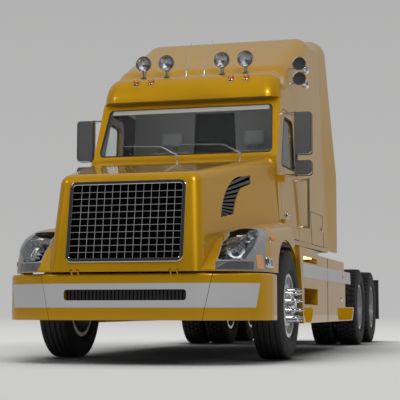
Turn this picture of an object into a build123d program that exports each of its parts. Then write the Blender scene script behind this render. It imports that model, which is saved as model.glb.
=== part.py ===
"""Conventional sleeper tractor truck with a tilting hood, swinging doors, steered front wheels and a tandem.

Millimetres. +X is the truck's left, +Y runs to its rear and +Z is up. Everything is laid out with Y = 0 on
the front axle, and at the end moved so that the origin lies on the ground below the middle of the truck.
"""

import os
from math import cos, radians, sin, tan

from build123d import *

# Clearances
SEAT = 0.3
FIT = 0.05
DOOR_GAP = 8.0

# Wheels
TYRE_R = 512.0
TYRE_W = 300.0
TREAD_W = 240.0
BEAD_R = 286.0
BEAD_W = 224.0
FLANGE_R = 302.0
FLANGE_T = 12.0
BARREL_T = 18.0
NUT_COUNT = 10
NUT_CIRCLE_R = 142.9
NUT_R = 19.0
HAND_HOLE_R = 26.0
SPINDLE_R = 45.0
REAR_SPINDLE_R = 60.0

# Axles
FRONT_TYRE_X = 1045.0
KINGPIN_X = 880.0
KINGPIN_R = 24.0
TWIN_X = 901.0
TWIN_PITCH = 330.0
REAR_AXLE_Y = 5060.0
TANDEM = 1325.0
AXLE_TUBE_R = 65.0
PINION = 320.0
GEARBOX_END = 1250.0
GEARBOX_Z = 800.0
TIE_ROD_Y = 230.0
TIE_PIN_R = 10.0

# Ladder frame
RAIL_OUT = 430.0
RAIL_W = 80.0
RAIL_T = 10.0
RAIL_Z = (740.0, 1000.0)
FRAME_FRONT = -1150.0
TAIL_Y = 7250.0
SPRING_W = 80.0
SPRING_EYE_Y = (-640.0, 740.0)
SPRING_EYE_Z = 660.0
SPRING_EYE_R = 32.0
AXLE_TOP_Z = 490.0

# Bumper
BUMPER_FRONT = -1430.0
BUMPER_SIDE = 1222.0
BUMPER_Z = (382.0, 788.0)
BUMPER_T = 55.0
BUMPER_REAR = -830.0
BUMPER_SEAM = ((692.0, 388.0), (777.0, 776.0))
SEAM_GAP = 4.0
BUMPER_SLOT = (1110.0, 93.0, 600.0)
BUMPER_SLOT_R = 26.0

# Hood
HOOD_Z = 800.0
HOOD_REAR = 370.0
HOOD_T = 20.0
NOSE_LOW_Y = -1459.0
NOSE_TOP = (-1326.0, 1662.0)
HOOD_TOP_Z = 1995.0
HOOD_EDGE_R = 100.0
HOOD_AXIS = (-1449.0, 806.0)
HOOD_HINGE_X = 450.0
HOOD_PIN_R = 5.0
HOOD_LUG_R = 9.0
HOOD_LUG_W = 40.0
HOOD_CHEEK_T = 12.0
HOOD_SIDE = ((704.0, -1200.0, 1236.0), (0.2012, -0.094))
GRILLE_W = 1070.0
GRILLE_Z = (880.0, 1598.0)
GRILLE_RIM = 34.0
GRILLE_GRID = (13, 10)
GRILLE_BAR = 9.0
ARCH = ((-800.0, 300.0), (-660.0, 800.0), (-95.0, 1130.0), (505.0, 790.0), (625.0, 300.0))

# Cab
CAB_T = 50.0
CAB_FLOOR_Z = 1150.0
CAB_REAR = 2870.0
CAB_FRONT = 400.0
COWL_TOP = (400.0, 2012.0)
SCREEN_LOW = (452.0, 2040.0)
SCREEN_TOP = (705.0, 2602.0)
ROOF_Z = 2662.0
BROW_Y = 638.0
BROW_R = 305.0
SHELF_SLOPE = 12.0
SHELF_END_Y = 1000.0
RISER_END = (1120.0, ROOF_Z + 420.0)
CREST = (2300.0, ROOF_Z + 978.0)
ROOF_REAR_Z = ROOF_Z + 1038.0
ROOF_EDGE_R = 170.0
CAB_SIDE = ((1015.0, 400.0, 1150.0), (0.0364, -0.0431))
DOOR = ((530.0, 1208.0), (530.0, 1990.0), (772.0, 2545.0), (1312.0, 2545.0), (1312.0, 1208.0))
WINDOW = ((602.0, 1930.0), (836.0, 2478.0), (1240.0, 2478.0), (1240.0, 1930.0))
SCREEN = ((926.0, 2056.0), (884.0, 2586.0))
SEAT_X = 480.0
DOOR_AXIS = (1032.0, 526.0)
HINGE_Z = (1340.0, 1790.0)

# Fairings and tanks
FAIRING_X = 1200.0
FAIRING_T = 50.0
FAIRING_Z = (336.0, 1056.0)
TANK_R = 300.0
TANK_X = 800.0
TANK_Y = (1650.0, 3480.0)
TANK_Z = 690.0

# Fifth wheel
FIFTH_Y = 5600.0
FIFTH_TOP_Z = 1210.0
FIFTH_PIVOT_Z = 1110.0
FIFTH_PIN_R = 28.0
KINGPIN_BORE_R = 25.65


def block(x, y, z):
    """Box between three pairs of limits."""
    return Pos(sum(x) / 2, sum(y) / 2, sum(z) / 2) * Box(x[1] - x[0], y[1] - y[0], z[1] - z[0])


def rod(start, end, radius, end_radius=None):
    """Round bar, straight or tapered, between two points."""
    run = Vector(*end) - Vector(*start)
    bar = Cylinder(radius, run.length) if end_radius is None else Cone(radius, end_radius, run.length)
    return Plane(origin=start, z_dir=run) * Pos(0, 0, run.length / 2) * bar


def outline(points, radius):
    """Closed face through the points, its corners rounded."""
    if radius:
        return make_face(FilletPolyline(*points, radius=radius, close=True))
    return make_face(Polyline(*points, close=True))


def slab_yz(points, x, radius=0):
    """Side-view outline carried between two X limits."""
    return extrude(Plane.YZ.offset(x[0]) * outline(points, radius), amount=x[1] - x[0])


def slab_xy(points, z, radius=0):
    """Plan outline carried between two heights."""
    return extrude(Plane.XY.offset(z[0]) * outline(points, radius), amount=z[1] - z[0])


def slab_xz(points, y, radius=0):
    """Front-view outline carried between two Y limits."""
    front = Plane(origin=(0, y[0], 0), x_dir=(1, 0, 0), z_dir=(0, -1, 0))
    return extrude(front * outline(points, radius), amount=y[0] - y[1])


def flipped(shape):
    """Mirror image on the truck's other side."""
    return mirror(shape, Plane.YZ)


def both(shape):
    """The piece and its mirror image."""
    return [shape, flipped(shape)]


def side_plane(spec, inset):
    """Plane of a sloping left side, moved inwards; its normal points out."""
    point, (lean_y, lean_z) = spec
    plane = Plane(origin=point, z_dir=(1, -lean_y, -lean_z))
    return plane.offset(-inset)


def between_sides(shape, spec, inset):
    """What lies between a sloping left side and its mirror image."""
    plane = side_plane(spec, inset)
    half = split(shape, bisect_by=plane, keep=Keep.BOTTOM)
    return flipped(split(flipped(half), bisect_by=plane, keep=Keep.BOTTOM))


def on_side(edges, spec, inset):
    """Edges that lie in a sloping side or in its mirror image."""
    plane = side_plane(spec, inset)
    found = []
    for edge in edges:
        centre = edge.center()
        reach = plane.to_local_coords(Vector(abs(centre.X), centre.Y, centre.Z)).Z
        if abs(reach) < 0.5:
            found.append(edge)
    return found


# Wheels, each drawn about the origin with its outer face towards +X


def tyre():
    """Tyre ring without its tread."""
    bead, half, tread = BEAD_W / 2, TYRE_W / 2, TREAD_W / 2
    foot = (bead, FLANGE_R + 2)
    bulge = (half, (BEAD_R + TYRE_R) / 2)
    shoulder = (tread + 10, TYRE_R - 20)
    edge = (tread, TYRE_R - 5)

    def across(point):
        return -point[0], point[1]

    section = [
        Line((-bead, BEAD_R), (bead, BEAD_R)),
        Line((bead, BEAD_R), foot),
        ThreePointArc(foot, bulge, shoulder),
        Line(shoulder, edge),
        ThreePointArc(edge, (0, TYRE_R), across(edge)),
        Line(across(edge), across(shoulder)),
        ThreePointArc(across(shoulder), across(bulge), across(foot)),
        Line(across(foot), (-bead, BEAD_R)),
    ]
    return revolve(make_face(section), axis=Axis.X)


def barrel(middle, disc_in, disc_out):
    """Section of a rim barrel, run from its inner edge round to where the disc leaves it outside."""
    out = middle + BEAD_W / 2 + SEAT + FLANGE_T
    low = middle - BEAD_W / 2 - SEAT - FLANGE_T
    deep = BEAD_R - BARREL_T
    seat = BEAD_R - SEAT
    return [
        (disc_in, deep), (low, deep), (low, FLANGE_R), (low + FLANGE_T, FLANGE_R), (low + FLANGE_T, seat),
        (out - FLANGE_T, seat), (out - FLANGE_T, FLANGE_R), (out, FLANGE_R), (out, deep), (disc_out, deep),
    ]


def around(shape, count, radius, turn=0.0):
    """Copies of a piece on a circle about the X axis."""
    return [Rot(turn + step * 360 / count, 0, 0) * Pos(0, 0, radius) * shape for step in range(count)]


def nut(base, straight, tip):
    """Wheel nut with a pointed cover, along +X."""
    return rod((base, 0, 0), (straight, 0, 0), NUT_R) + rod((straight, 0, 0), (tip, 0, 0), NUT_R, 3)


def front_rim():
    """Steered wheel's rim, disc, hub, drum and cap in one."""
    bore = SPINDLE_R + FIT
    section = [(-60, bore), (-60, 105), (-30, 105), (-30, 186), (-130, 186), (-130, 210)]
    section += [(-10, 210), (-10, 110), (96, 110), (96, 186)] + barrel(0, 60, 82)
    section += [(118, 190), (118, 86), (170, 82), (186, 66), (186, 0), (112, 0), (112, bore)]
    rim = revolve(make_face(Polyline(*section, close=True)), axis=Axis.X)
    holes = around(rod((30, 0, 0), (130, 0, 0), HAND_HOLE_R), NUT_COUNT, 228, 18)
    return rim - holes + around(nut(116, 205, 255), NUT_COUNT, NUT_CIRCLE_R)


def rear_hub():
    """Twin wheel's two rims, discs, hub, drum and axle cap in one."""
    bore = REAR_SPINDLE_R + FIT
    far = TWIN_PITCH / 2
    inner = barrel(-far, -100, -78)
    outer = [(-x, r) for x, r in reversed(barrel(-far, -100, -78))]
    section = [(-150, bore), (-150, 105), (-90, 105), (-90, 186), (-250, 186), (-250, 210)]
    section += [(-70, 210), (-70, 110), (-22, 110), (-22, 190)] + inner + [(0, 190)] + outer
    section += [(22, 190), (22, 112), (130, 95), (150, 78), (150, 0), (100, 0), (100, bore)]
    hub = revolve(make_face(Polyline(*section, close=True)), axis=Axis.X)
    holes = around(rod((-130, 0, 0), (130, 0, 0), HAND_HOLE_R), NUT_COUNT, 228, 18)
    return hub - holes + around(nut(20, 60, 75), NUT_COUNT, NUT_CIRCLE_R)


# Axles and steering


def front_axle():
    """Dropped beam with an eye and a fixed kingpin at each end."""
    low, high, eye = AXLE_TOP_Z - 90, AXLE_TOP_Z, 55.0
    half = [(KINGPIN_X - 40, TYRE_R - 50), (640, low), (-640, low), (40 - KINGPIN_X, TYRE_R - 50)]
    half += [(40 - KINGPIN_X, TYRE_R + 50), (-610, high), (610, high), (KINGPIN_X - 40, TYRE_R + 50)]
    beam = slab_xz(half, (-45, 45))
    for side in (-1, 1):
        pocket = [(-600, low + 22), (600, low + 22), (580, high - 22), (-580, high - 22)]
        beam -= slab_xz(pocket, (side * 60 - 32, side * 60 + 32))
    for x in (-KINGPIN_X, KINGPIN_X):
        beam += rod((x, 0, TYRE_R - 55), (x, 0, TYRE_R + 55), eye)
        beam += rod((x, 0, TYRE_R - 124), (x, 0, TYRE_R + 124), KINGPIN_R)
    return beam


def knuckle():
    """Left steering knuckle: forked round the axle eye, spindle outwards, steering arm backwards."""
    web = block((KINGPIN_X + 62, FRONT_TYRE_X - 70), (-60, 60), (TYRE_R - 120, TYRE_R + 120))
    body = web + rod((FRONT_TYRE_X - 80, 0, TYRE_R), (FRONT_TYRE_X + 105, 0, TYRE_R), SPINDLE_R)
    for low in (TYRE_R - 120, TYRE_R + 61):
        ear = block((KINGPIN_X, KINGPIN_X + 70), (-48, 48), (low, low + 59))
        ear += rod((KINGPIN_X, 0, low), (KINGPIN_X, 0, low + 59), 48)
        body += ear
    arm_z = TYRE_R - 90
    body += rod((KINGPIN_X, 0, arm_z), (KINGPIN_X, TIE_ROD_Y, arm_z), 18)
    body += rod((KINGPIN_X, TIE_ROD_Y, arm_z - 60), (KINGPIN_X, TIE_ROD_Y, arm_z), TIE_PIN_R)
    body += rod((KINGPIN_X, TIE_ROD_Y, arm_z - 20), (KINGPIN_X, TIE_ROD_Y, arm_z + 20), 24)
    return body - rod((KINGPIN_X, 0, TYRE_R - 130), (KINGPIN_X, 0, TYRE_R + 130), KINGPIN_R + FIT)


def tie_rod():
    """Cross rod with an eye at each end, below the steering arms."""
    eye_z = (TYRE_R - 146, TYRE_R - 116)
    middle = sum(eye_z) / 2
    body = rod((20 - KINGPIN_X, TIE_ROD_Y, middle), (KINGPIN_X - 20, TIE_ROD_Y, middle), 14)
    for x in (-KINGPIN_X, KINGPIN_X):
        body += rod((x, TIE_ROD_Y, eye_z[0]), (x, TIE_ROD_Y, eye_z[1]), 26)
    for x in (-KINGPIN_X, KINGPIN_X):
        body -= rod((x, TIE_ROD_Y, eye_z[0] - 10), (x, TIE_ROD_Y, eye_z[1] + 10), TIE_PIN_R + FIT)
    return body


def leaf_spring():
    """Left front spring: a bowed pack with an eye at each end, clamped on the beam."""
    front, rear = SPRING_EYE_Y
    x = (RAIL_OUT - 85, RAIL_OUT - 85 + SPRING_W)
    eye_z, middle = SPRING_EYE_Z, (front + rear) / 2
    low = AXLE_TOP_Z + SEAT
    pack = [
        ThreePointArc((front, eye_z), (middle, low + 70), (rear, eye_z)),
        Line((rear, eye_z), (rear, eye_z - 22)),
        ThreePointArc((rear, eye_z - 22), (middle, low), (front, eye_z - 22)),
        Line((front, eye_z - 22), (front, eye_z)),
    ]
    spring = extrude(Plane.YZ.offset(x[0]) * make_face(pack), amount=SPRING_W)
    for y in SPRING_EYE_Y:
        spring += rod((x[0], y, eye_z), (x[1], y, eye_z), SPRING_EYE_R)
    clamp = block((x[0] - 12, x[1] + 12), (-90, 90), (low, low + 100))
    return spring + clamp


def rear_axles():
    """Two drive axles: tube, bowl and spindles."""
    solids = []
    reach = TWIN_X + 95
    for y in (REAR_AXLE_Y, REAR_AXLE_Y + TANDEM):
        tube = rod((-reach, y, TYRE_R), (reach, y, TYRE_R), REAR_SPINDLE_R)
        tube += rod((160 - TWIN_X, y, TYRE_R), (TWIN_X - 160, y, TYRE_R), AXLE_TUBE_R + 10)
        tube += rod((-110, y, TYRE_R), (110, y, TYRE_R), 205)
        tube += rod((0, y - PINION, TYRE_R + 30), (0, y, TYRE_R + 30), 90, 140)
        solids.append(tube)
    return solids


def rear_suspension():
    """Four trailing arms, each with its air spring."""
    solids = []
    for y in (REAR_AXLE_Y, REAR_AXLE_Y + TANDEM):
        seat = TYRE_R + AXLE_TUBE_R + 10
        arm = [(y - 560, 660), (y - 560, 720), (y - 120, seat + 55), (y + 400, seat + 30)]
        arm += [(y + 400, seat - 10), (y + 90, seat), (y - 120, seat)]
        body = slab_yz(arm, (RAIL_OUT - 80, RAIL_OUT))
        body += rod((RAIL_OUT - 40, y + 300, seat + 20), (RAIL_OUT - 40, y + 300, RAIL_Z[0]), 115)
        solids += both(body)
    return solids


# Ladder frame and what it carries


CROSSMEMBERS = [
    # middle Y, length along Y, low Z, high Z
    (-1110.0, 80.0, 750.0, 990.0),
    (1420.0, 90.0, 850.0, 985.0),
    (2500.0, 90.0, 850.0, 985.0),
    (3650.0, 90.0, 850.0, 985.0),
    (4420.0, 90.0, 850.0, 985.0),
    (5722.0, 160.0, 850.0, 985.0),
    (7190.0, 100.0, 750.0, 985.0),
]
OUTRIGGERS = [
    # middle Y, outer X, low Z, high Z
    (1100.0, 900.0, 860.0, 940.0),
    (1585.0, FAIRING_X - FAIRING_T - SEAT, 860.0, 920.0),
    (3540.0, FAIRING_X - FAIRING_T - SEAT, 860.0, 920.0),
]


def bumper_body(inset, z, back):
    """Bumper's plan outline, moved inwards, between two heights."""
    front, side = BUMPER_FRONT, BUMPER_SIDE
    half = [(740, front), (side - 62, front + 235), (side, front + 430), (side, back)]
    points = [(-x, y) for x, y in reversed(half)] + half
    radii = [0, 200, 300, 420, 420, 300, 200, 0]
    face = outline(points, radii)
    if inset:
        face = offset(face, amount=-inset)
    return extrude(Plane.XY.offset(z[0]) * face, amount=z[1] - z[0])


def bumper():
    """Bumper in three pieces: a centre and two ends, parted by slanting seams."""
    low, high = BUMPER_Z
    band = bumper_body(0, BUMPER_Z, BUMPER_REAR)
    band = fillet(band.edges().group_by(Axis.Z)[-1].filter_by(lambda e: e.center().Y < BUMPER_REAR - 5), 25)
    band -= bumper_body(BUMPER_T, (low - 10, high + 10), BUMPER_REAR + 400)
    (x0, z0), (x1, z1) = BUMPER_SEAM
    lean = (x1 - x0) / (z1 - z0)
    foot, head = x0 - 60 * lean, x1 + 60 * lean
    seam = [(foot, z0 - 60), (foot + SEAM_GAP, z0 - 60), (head + SEAM_GAP, z1 + 60), (head, z1 + 60)]
    cut = slab_xz(seam, (BUMPER_FRONT - 50, BUMPER_REAR))
    width, height, middle = BUMPER_SLOT
    front = Plane(origin=(0, BUMPER_FRONT - 50, middle), x_dir=(1, 0, 0), z_dir=(0, 1, 0))
    slot = extrude(front * RectangleRounded(width, height, BUMPER_SLOT_R), amount=BUMPER_T + 60)
    cheeks = hood_cheeks()
    return (band - slot - cut - flipped(cut) + cheeks + flipped(cheeks)).solids()


def hood_cheeks():
    """Left pair of hinge cheeks on the bumper, with the pin the hood turns on."""
    y, z = HOOD_AXIS
    foot = BUMPER_Z[1] - 30
    near = HOOD_LUG_W / 2 + 4
    far = near + HOOD_CHEEK_T
    pin = rod((HOOD_HINGE_X - far, y, z), (HOOD_HINGE_X + far, y, z), HOOD_PIN_R)
    arm = [(y - HOOD_LUG_R, z), (y + HOOD_LUG_R, z), (y + 70, foot), (y + 30, foot)]
    for x in (HOOD_HINGE_X - far, HOOD_HINGE_X + near):
        pin += slab_yz(arm, (x, x + HOOD_CHEEK_T)) + rod((x, y, z), (x + HOOD_CHEEK_T, y, z), HOOD_LUG_R)
    return pin


def hood_lug():
    """Left hinge eye at the foot of the hood's nose, its bore, and the slots either side of it."""
    y, z = HOOD_AXIS
    half = HOOD_LUG_W / 2
    reach = half + HOOD_CHEEK_T + 10
    x = (HOOD_HINGE_X - half, HOOD_HINGE_X + half)
    deep, tall = (y - 60, y + 60), (z - 60, z + HOOD_LUG_R + 6)
    eye = rod((x[0], y, z), (x[1], y, z), HOOD_LUG_R)
    bore = rod((x[0] - 1, y, z), (x[1] + 1, y, z), HOOD_PIN_R + FIT)
    slot = block((HOOD_HINGE_X - reach, HOOD_HINGE_X + reach), deep, tall) - block(x, deep, tall)
    return eye, bore, slot


def ladder_frame():
    """Channel rails with their hangers, mounts and outriggers; crossmembers and bumper beam between them."""
    low, high = RAIL_Z
    rail = block((RAIL_OUT - RAIL_W, RAIL_OUT), (FRAME_FRONT, TAIL_Y - 10), RAIL_Z)
    hollow = (low + RAIL_T, high - RAIL_T)
    rail -= block((RAIL_OUT - RAIL_W - 1, RAIL_OUT - RAIL_T), (FRAME_FRONT - 1, TAIL_Y), hollow)
    x = (RAIL_OUT - 85, RAIL_OUT - 5)
    for y in SPRING_EYE_Y:
        hanger = block(x, (y - 50, y + 50), (SPRING_EYE_Z + 5, low + 5))
        rail += hanger - rod((x[0] - 1, y, SPRING_EYE_Z), (x[1] + 1, y, SPRING_EYE_Z), SPRING_EYE_R + SEAT)
    for y in (REAR_AXLE_Y, REAR_AXLE_Y + TANDEM):
        rail += block((RAIL_OUT - 80, RAIL_OUT), (y - 640, y - 560 - SEAT), (620, low + 5))
    for y in (640.0, 2700.0):
        rail += block((RAIL_OUT - RAIL_W, RAIL_OUT), (y - 60, y + 60), (high - 5, CAB_FLOOR_Z - SEAT))
    tank = rod((TANK_X, TANK_Y[0] - 5, TANK_Z), (TANK_X, TANK_Y[1] + 5, TANK_Z), TANK_R + SEAT)
    for y in (1900.0, 3230.0):
        rail += block((RAIL_OUT - 5, TANK_X - 120), (y - 50, y + 50), (low + 20, high - 40)) - tank
    for y, out, z0, z1 in OUTRIGGERS:
        rail += block((RAIL_OUT - 5, out), (y - 35, y + 35), (z0, z1))
    rail += block((RAIL_OUT - RAIL_W, RAIL_OUT), (BUMPER_FRONT + 130, FRAME_FRONT + 60), (560, low + 60))
    rails = both(rail)
    web = RAIL_OUT - RAIL_T
    members = [block((-web, web), (y - run / 2, y + run / 2), (z0, z1)) for y, run, z0, z1 in CROSSMEMBERS]
    beam = bumper_body(BUMPER_T + SEAT, (520, 650), BUMPER_REAR + 400)
    members.append(beam & block((-980, 980), (BUMPER_FRONT, BUMPER_FRONT + 260), (500, 700)))
    return rails + [member - rails for member in members]


def powertrain():
    """Engine block with its feet, flywheel housing and gearbox."""
    high = RAIL_Z[1]
    body = block((-310, 310), (-880, 260), (640, 1500))
    body += rod((0, 250, 850), (0, 420, 850), 250)
    body += rod((0, 410, GEARBOX_Z), (0, GEARBOX_END, GEARBOX_Z), 210, 150)
    for y in (-620.0, 60.0):
        body += block((-RAIL_OUT, RAIL_OUT), (y - 70, y + 70), (high, high + 40))
    return body


def driveshafts():
    """Long shaft from the gearbox to the first axle and the short one between the axles."""
    nose = REAR_AXLE_Y - PINION
    first = rod((0, GEARBOX_END - 50, GEARBOX_Z), (0, nose + 50, TYRE_R + 30), 55)
    first &= block((-100, 100), (GEARBOX_END + SEAT, nose - SEAT), (300, 1000))
    second = rod((0, REAR_AXLE_Y, TYRE_R + 30), (0, nose + TANDEM - SEAT, TYRE_R + 30), 50)
    second &= block((-100, 100), (REAR_AXLE_Y + 100, nose + TANDEM), (300, 1000))
    bowl = rod((-130, REAR_AXLE_Y, TYRE_R), (130, REAR_AXLE_Y, TYRE_R), 205 + SEAT)
    return [first, second - bowl]


def radiator():
    """Radiator core standing on the rails."""
    return block((-490, 490), (-1145, -1045), (RAIL_Z[1], 1590))


def fuel_tank():
    """Left cylindrical tank."""
    tank = rod((TANK_X, TANK_Y[0], TANK_Z), (TANK_X, TANK_Y[1], TANK_Z), TANK_R)
    return fillet(tank.edges().filter_by(GeomType.CIRCLE), 40)


STEP_POCKETS = [
    # low Z, high Z, front Y, rear Y
    (520.0, 690.0, 690.0, 1520.0),
    (955.0, 1012.0, 650.0, 1520.0),
]


def step_box():
    """Left step box behind the fairing, with a pocket at each step."""
    body = block((900, FAIRING_X - FAIRING_T - SEAT), (640, 1540), (345, 1050))
    for z0, z1, y0, y1 in STEP_POCKETS:
        body -= block((960, FAIRING_X), (y0, y1), (z0, z1))
    return body


def side_fairing():
    """Left lower side panel from the wheel arch to the tandem."""
    low, high = FAIRING_Z
    points = [(440, 1100), (440, 1010), (520, 800), (632, low), (4290, low), (4430, 470), (4400, 505)]
    points += [(3640, 505), (3640, 795), (4130, 795), (4085, 945), (3560, 945), (3530, high)]
    points += [(1580, high), (1560, 1100)]
    panel = slab_yz(points, (FAIRING_X - FAIRING_T, FAIRING_X))
    for z0, z1, y0, y1 in STEP_POCKETS:
        panel -= block((FAIRING_X - FAIRING_T - 1, FAIRING_X + 1), (y0, y1), (z0, z1))
    return panel


def mudflap():
    """Left rear flap on its bar."""
    flap = block((600, 1215), (TAIL_Y - 40, TAIL_Y - 30), (330, 905))
    return flap + rod((RAIL_OUT + SEAT, TAIL_Y - 35, 910), (1215, TAIL_Y - 35, 910), 18)


def tail_lamp():
    """Left rear lamp block under the end of the rail."""
    return block((200, 420), (TAIL_Y - 40, TAIL_Y), (640, RAIL_Z[0] - SEAT))


# Hood


def hood_centre(inset):
    """Middle body of the hood."""
    rear = HOOD_REAR + (200 if inset else 0)
    base = HOOD_Z - (200 if inset else 0)
    lean = (NOSE_TOP[0] - NOSE_LOW_Y) / (NOSE_TOP[1] - HOOD_Z)
    rise = (HOOD_TOP_Z - NOSE_TOP[1]) / (HOOD_REAR - NOSE_TOP[0])
    points = [(NOSE_LOW_Y + lean * (base - HOOD_Z), base), NOSE_TOP]
    points.append((rear, NOSE_TOP[1] + rise * (rear - NOSE_TOP[0])))
    face = make_face(Polyline(*points, (rear, base), close=True))
    body = extrude(Plane.YZ * face, amount=1500, both=True)
    if inset:
        body = shift_in(body, points, inset)
    body = between_sides(body, HOOD_SIDE, inset)
    edges = on_side(body.edges(), HOOD_SIDE, inset)
    chosen = [e for e in edges if e.center().Y < rear - 5 and e.center().Z > base + 5]
    nose = [e for e in body.edges() if abs(e.center().X) < 1 and e.center().Y < -1000 and e.center().Z > 1400]
    return fillet(chosen + nose, HOOD_EDGE_R - inset)


def shift_in(body, points, inset):
    """The hood's side-view body with its front and top moved inwards."""
    (y0, z0), (y1, z1), (y2, z2) = points
    front = Plane(origin=(0, y0, z0), z_dir=(0, -(z1 - z0), y1 - y0)).offset(-inset)
    top = Plane(origin=(0, y1, z1), z_dir=(0, -(z2 - z1), y2 - y1)).offset(-inset)
    body = split(body, bisect_by=front, keep=Keep.BOTTOM)
    return split(body, bisect_by=top, keep=Keep.BOTTOM)


FENDER_IN_X = 600.0
FENDER_LEAN = 0.12
FENDER = [
    # Y, Z of the outer top edge, drop from there to the inner side, outer X at the foot, rounding of the edge
    (-1426.0, 816.0, 0.0, 800.0, 6.0),
    (-1365.0, 888.0, 24.0, 893.0, 36.0),
    (-1300.0, 960.0, 48.0, 978.0, 70.0),
    (-1230.0, 1030.0, 65.0, 1055.0, 96.0),
    (-1160.0, 1090.0, 76.0, 1114.0, 115.0),
    (-1085.0, 1140.0, 82.0, 1150.0, 125.0),
    (-1000.0, 1180.0, 84.0, 1173.0, 132.0),
    (-850.0, 1222.0, 75.0, 1193.0, 140.0),
    (-640.0, 1252.0, 52.0, 1201.0, 146.0),
    (-440.0, 1272.0, 36.0, 1203.0, 150.0),
    (HOOD_REAR, 1340.0, 0.0, 1203.0, 150.0),
]


def fender(inset):
    """Left fender as a solid lofted through upright sections, its faces moved inwards."""
    more = 200 if inset else 0
    base = HOOD_Z - more
    rows = list(FENDER)
    if inset:
        y, top, drop, x, edge = rows[-1]
        rows.append((y + more, top + 0.08 * more, drop, x, edge))
        y, *rest = rows[0]
        rows[0] = (y + inset, *rest)
    sections = []
    for y, top, drop, x, edge in rows:
        high, out = top - 1.2 * inset, x - inset
        points = [(FENDER_IN_X, base), (out + FENDER_LEAN * more, base)]
        points += [(out - FENDER_LEAN * (high - HOOD_Z), high), (FENDER_IN_X, high - drop)]
        face = outline(points, [0, 0, max(edge - inset, 4), 0])
        sections.append(Plane(origin=(0, y, 0), x_dir=(1, 0, 0), z_dir=(0, -1, 0)) * face)
    return loft(sections, ruled=True)


LAMP_TURN = 40.0
LAMP_IN_X = 770.0
LAMP_REACH = (1080.0, 2050.0)
BEZEL = [(-300.0, 806.0), (300.0, 806.0), (212.0, 930.0), (352.0, 1196.0)]
BEZEL += [(180.0, 1212.0), (40.0, 1170.0), (-128.0, 1056.0), (-264.0, 886.0)]
BEZEL_R = [8.0, 8.0, 150.0, 25.0, 60.0, 200.0, 200.0, 20.0]
LENS = [(-249.0, 897.0), (-20.0, 897.0), (232.0, 1172.0), (172.0, 1200.0), (44.0, 1164.0), (-123.0, 1053.0)]
LENS_R = [12.0, 60.0, 14.0, 30.0, 200.0, 150.0]


def lamp_prism(points, radii, grow):
    """Lamp outline, seen from the front corner, carried through the fender's skin."""
    turn = radians(LAMP_TURN)
    plane = Plane(origin=(0, 0, 0), x_dir=(cos(turn), sin(turn), 0), z_dir=(sin(turn), -cos(turn), 0))
    face = outline(points, radii)
    if grow:
        face = offset(face, amount=grow)
    near, far = LAMP_REACH
    prism = extrude(plane * Pos(0, 0, near) * face, amount=far - near)
    return prism & block((LAMP_IN_X, 1400), (-1600, 0), (700, 1400))


def arch_cut():
    """Left and right wheel openings, carried through the fenders."""
    a, b, c, d, e = ARCH
    edges = [Line(a, b), ThreePointArc(b, c, d), Line(d, e), Line(e, a)]
    return extrude(Plane.YZ * make_face(edges), amount=1500, both=True)


def grille_plane():
    """Plane of the nose, its origin at the middle of the grille and its normal forwards."""
    run = (NOSE_TOP[0] - NOSE_LOW_Y, NOSE_TOP[1] - HOOD_Z)
    middle = sum(GRILLE_Z) / 2
    y = NOSE_LOW_Y + run[0] * (middle - HOOD_Z) / run[1]
    return Plane(origin=(0, y, middle), x_dir=(1, 0, 0), z_dir=(0, -run[1], run[0]))


def grille():
    """Surround with a flange on the nose and a square grid of bars."""
    plane = grille_plane()
    height = GRILLE_Z[1] - GRILLE_Z[0]
    inner_w, inner_h = GRILLE_W - 2 * GRILLE_RIM, height - 2 * GRILLE_RIM
    flange = RectangleRounded(GRILLE_W, height, 60) - RectangleRounded(inner_w, inner_h, 34)
    sleeve = RectangleRounded(inner_w + 24, inner_h + 24, 46) - RectangleRounded(inner_w, inner_h, 34)
    across, up = GRILLE_GRID
    pitch_x, pitch_y = inner_w / across, inner_h / up
    cell = Rectangle(pitch_x - GRILLE_BAR, pitch_y - GRILLE_BAR)
    cells = GridLocations(pitch_x, pitch_y, across, up) * cell
    grid = RectangleRounded(inner_w + 10, inner_h + 10, 38) - cells
    body = extrude(plane * Pos(0, 0, SEAT) * flange, amount=16)
    body += extrude(plane * Pos(0, 0, -30) * sleeve, amount=32)
    return body + extrude(plane * Pos(0, 0, -26) * grid, amount=16)


VENT_DEEP = 12.0
VENT_OUT = ((-965.0, 1293.0), (-805.0, 1545.0), (-403.0, 1714.0), (-227.0, 1745.0))
VENT_IN = ((-247.0, 1659.0), (-474.0, 1599.0), (-610.0, 1476.0), (-694.0, 1340.0))


def vent_pocket():
    """Left side vent: a bent band sunk into the hood's side."""
    a, b, c, d = VENT_OUT
    e, f, g, h = VENT_IN
    edges = [ThreePointArc(a, b, c), Line(c, d), Line(d, e), Line(e, f), ThreePointArc(f, g, h), Line(h, a)]
    band = extrude(Plane.YZ.offset(500) * make_face(edges), amount=700)
    return split(band, bisect_by=side_plane(HOOD_SIDE, VENT_DEEP), keep=Keep.TOP)


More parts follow.
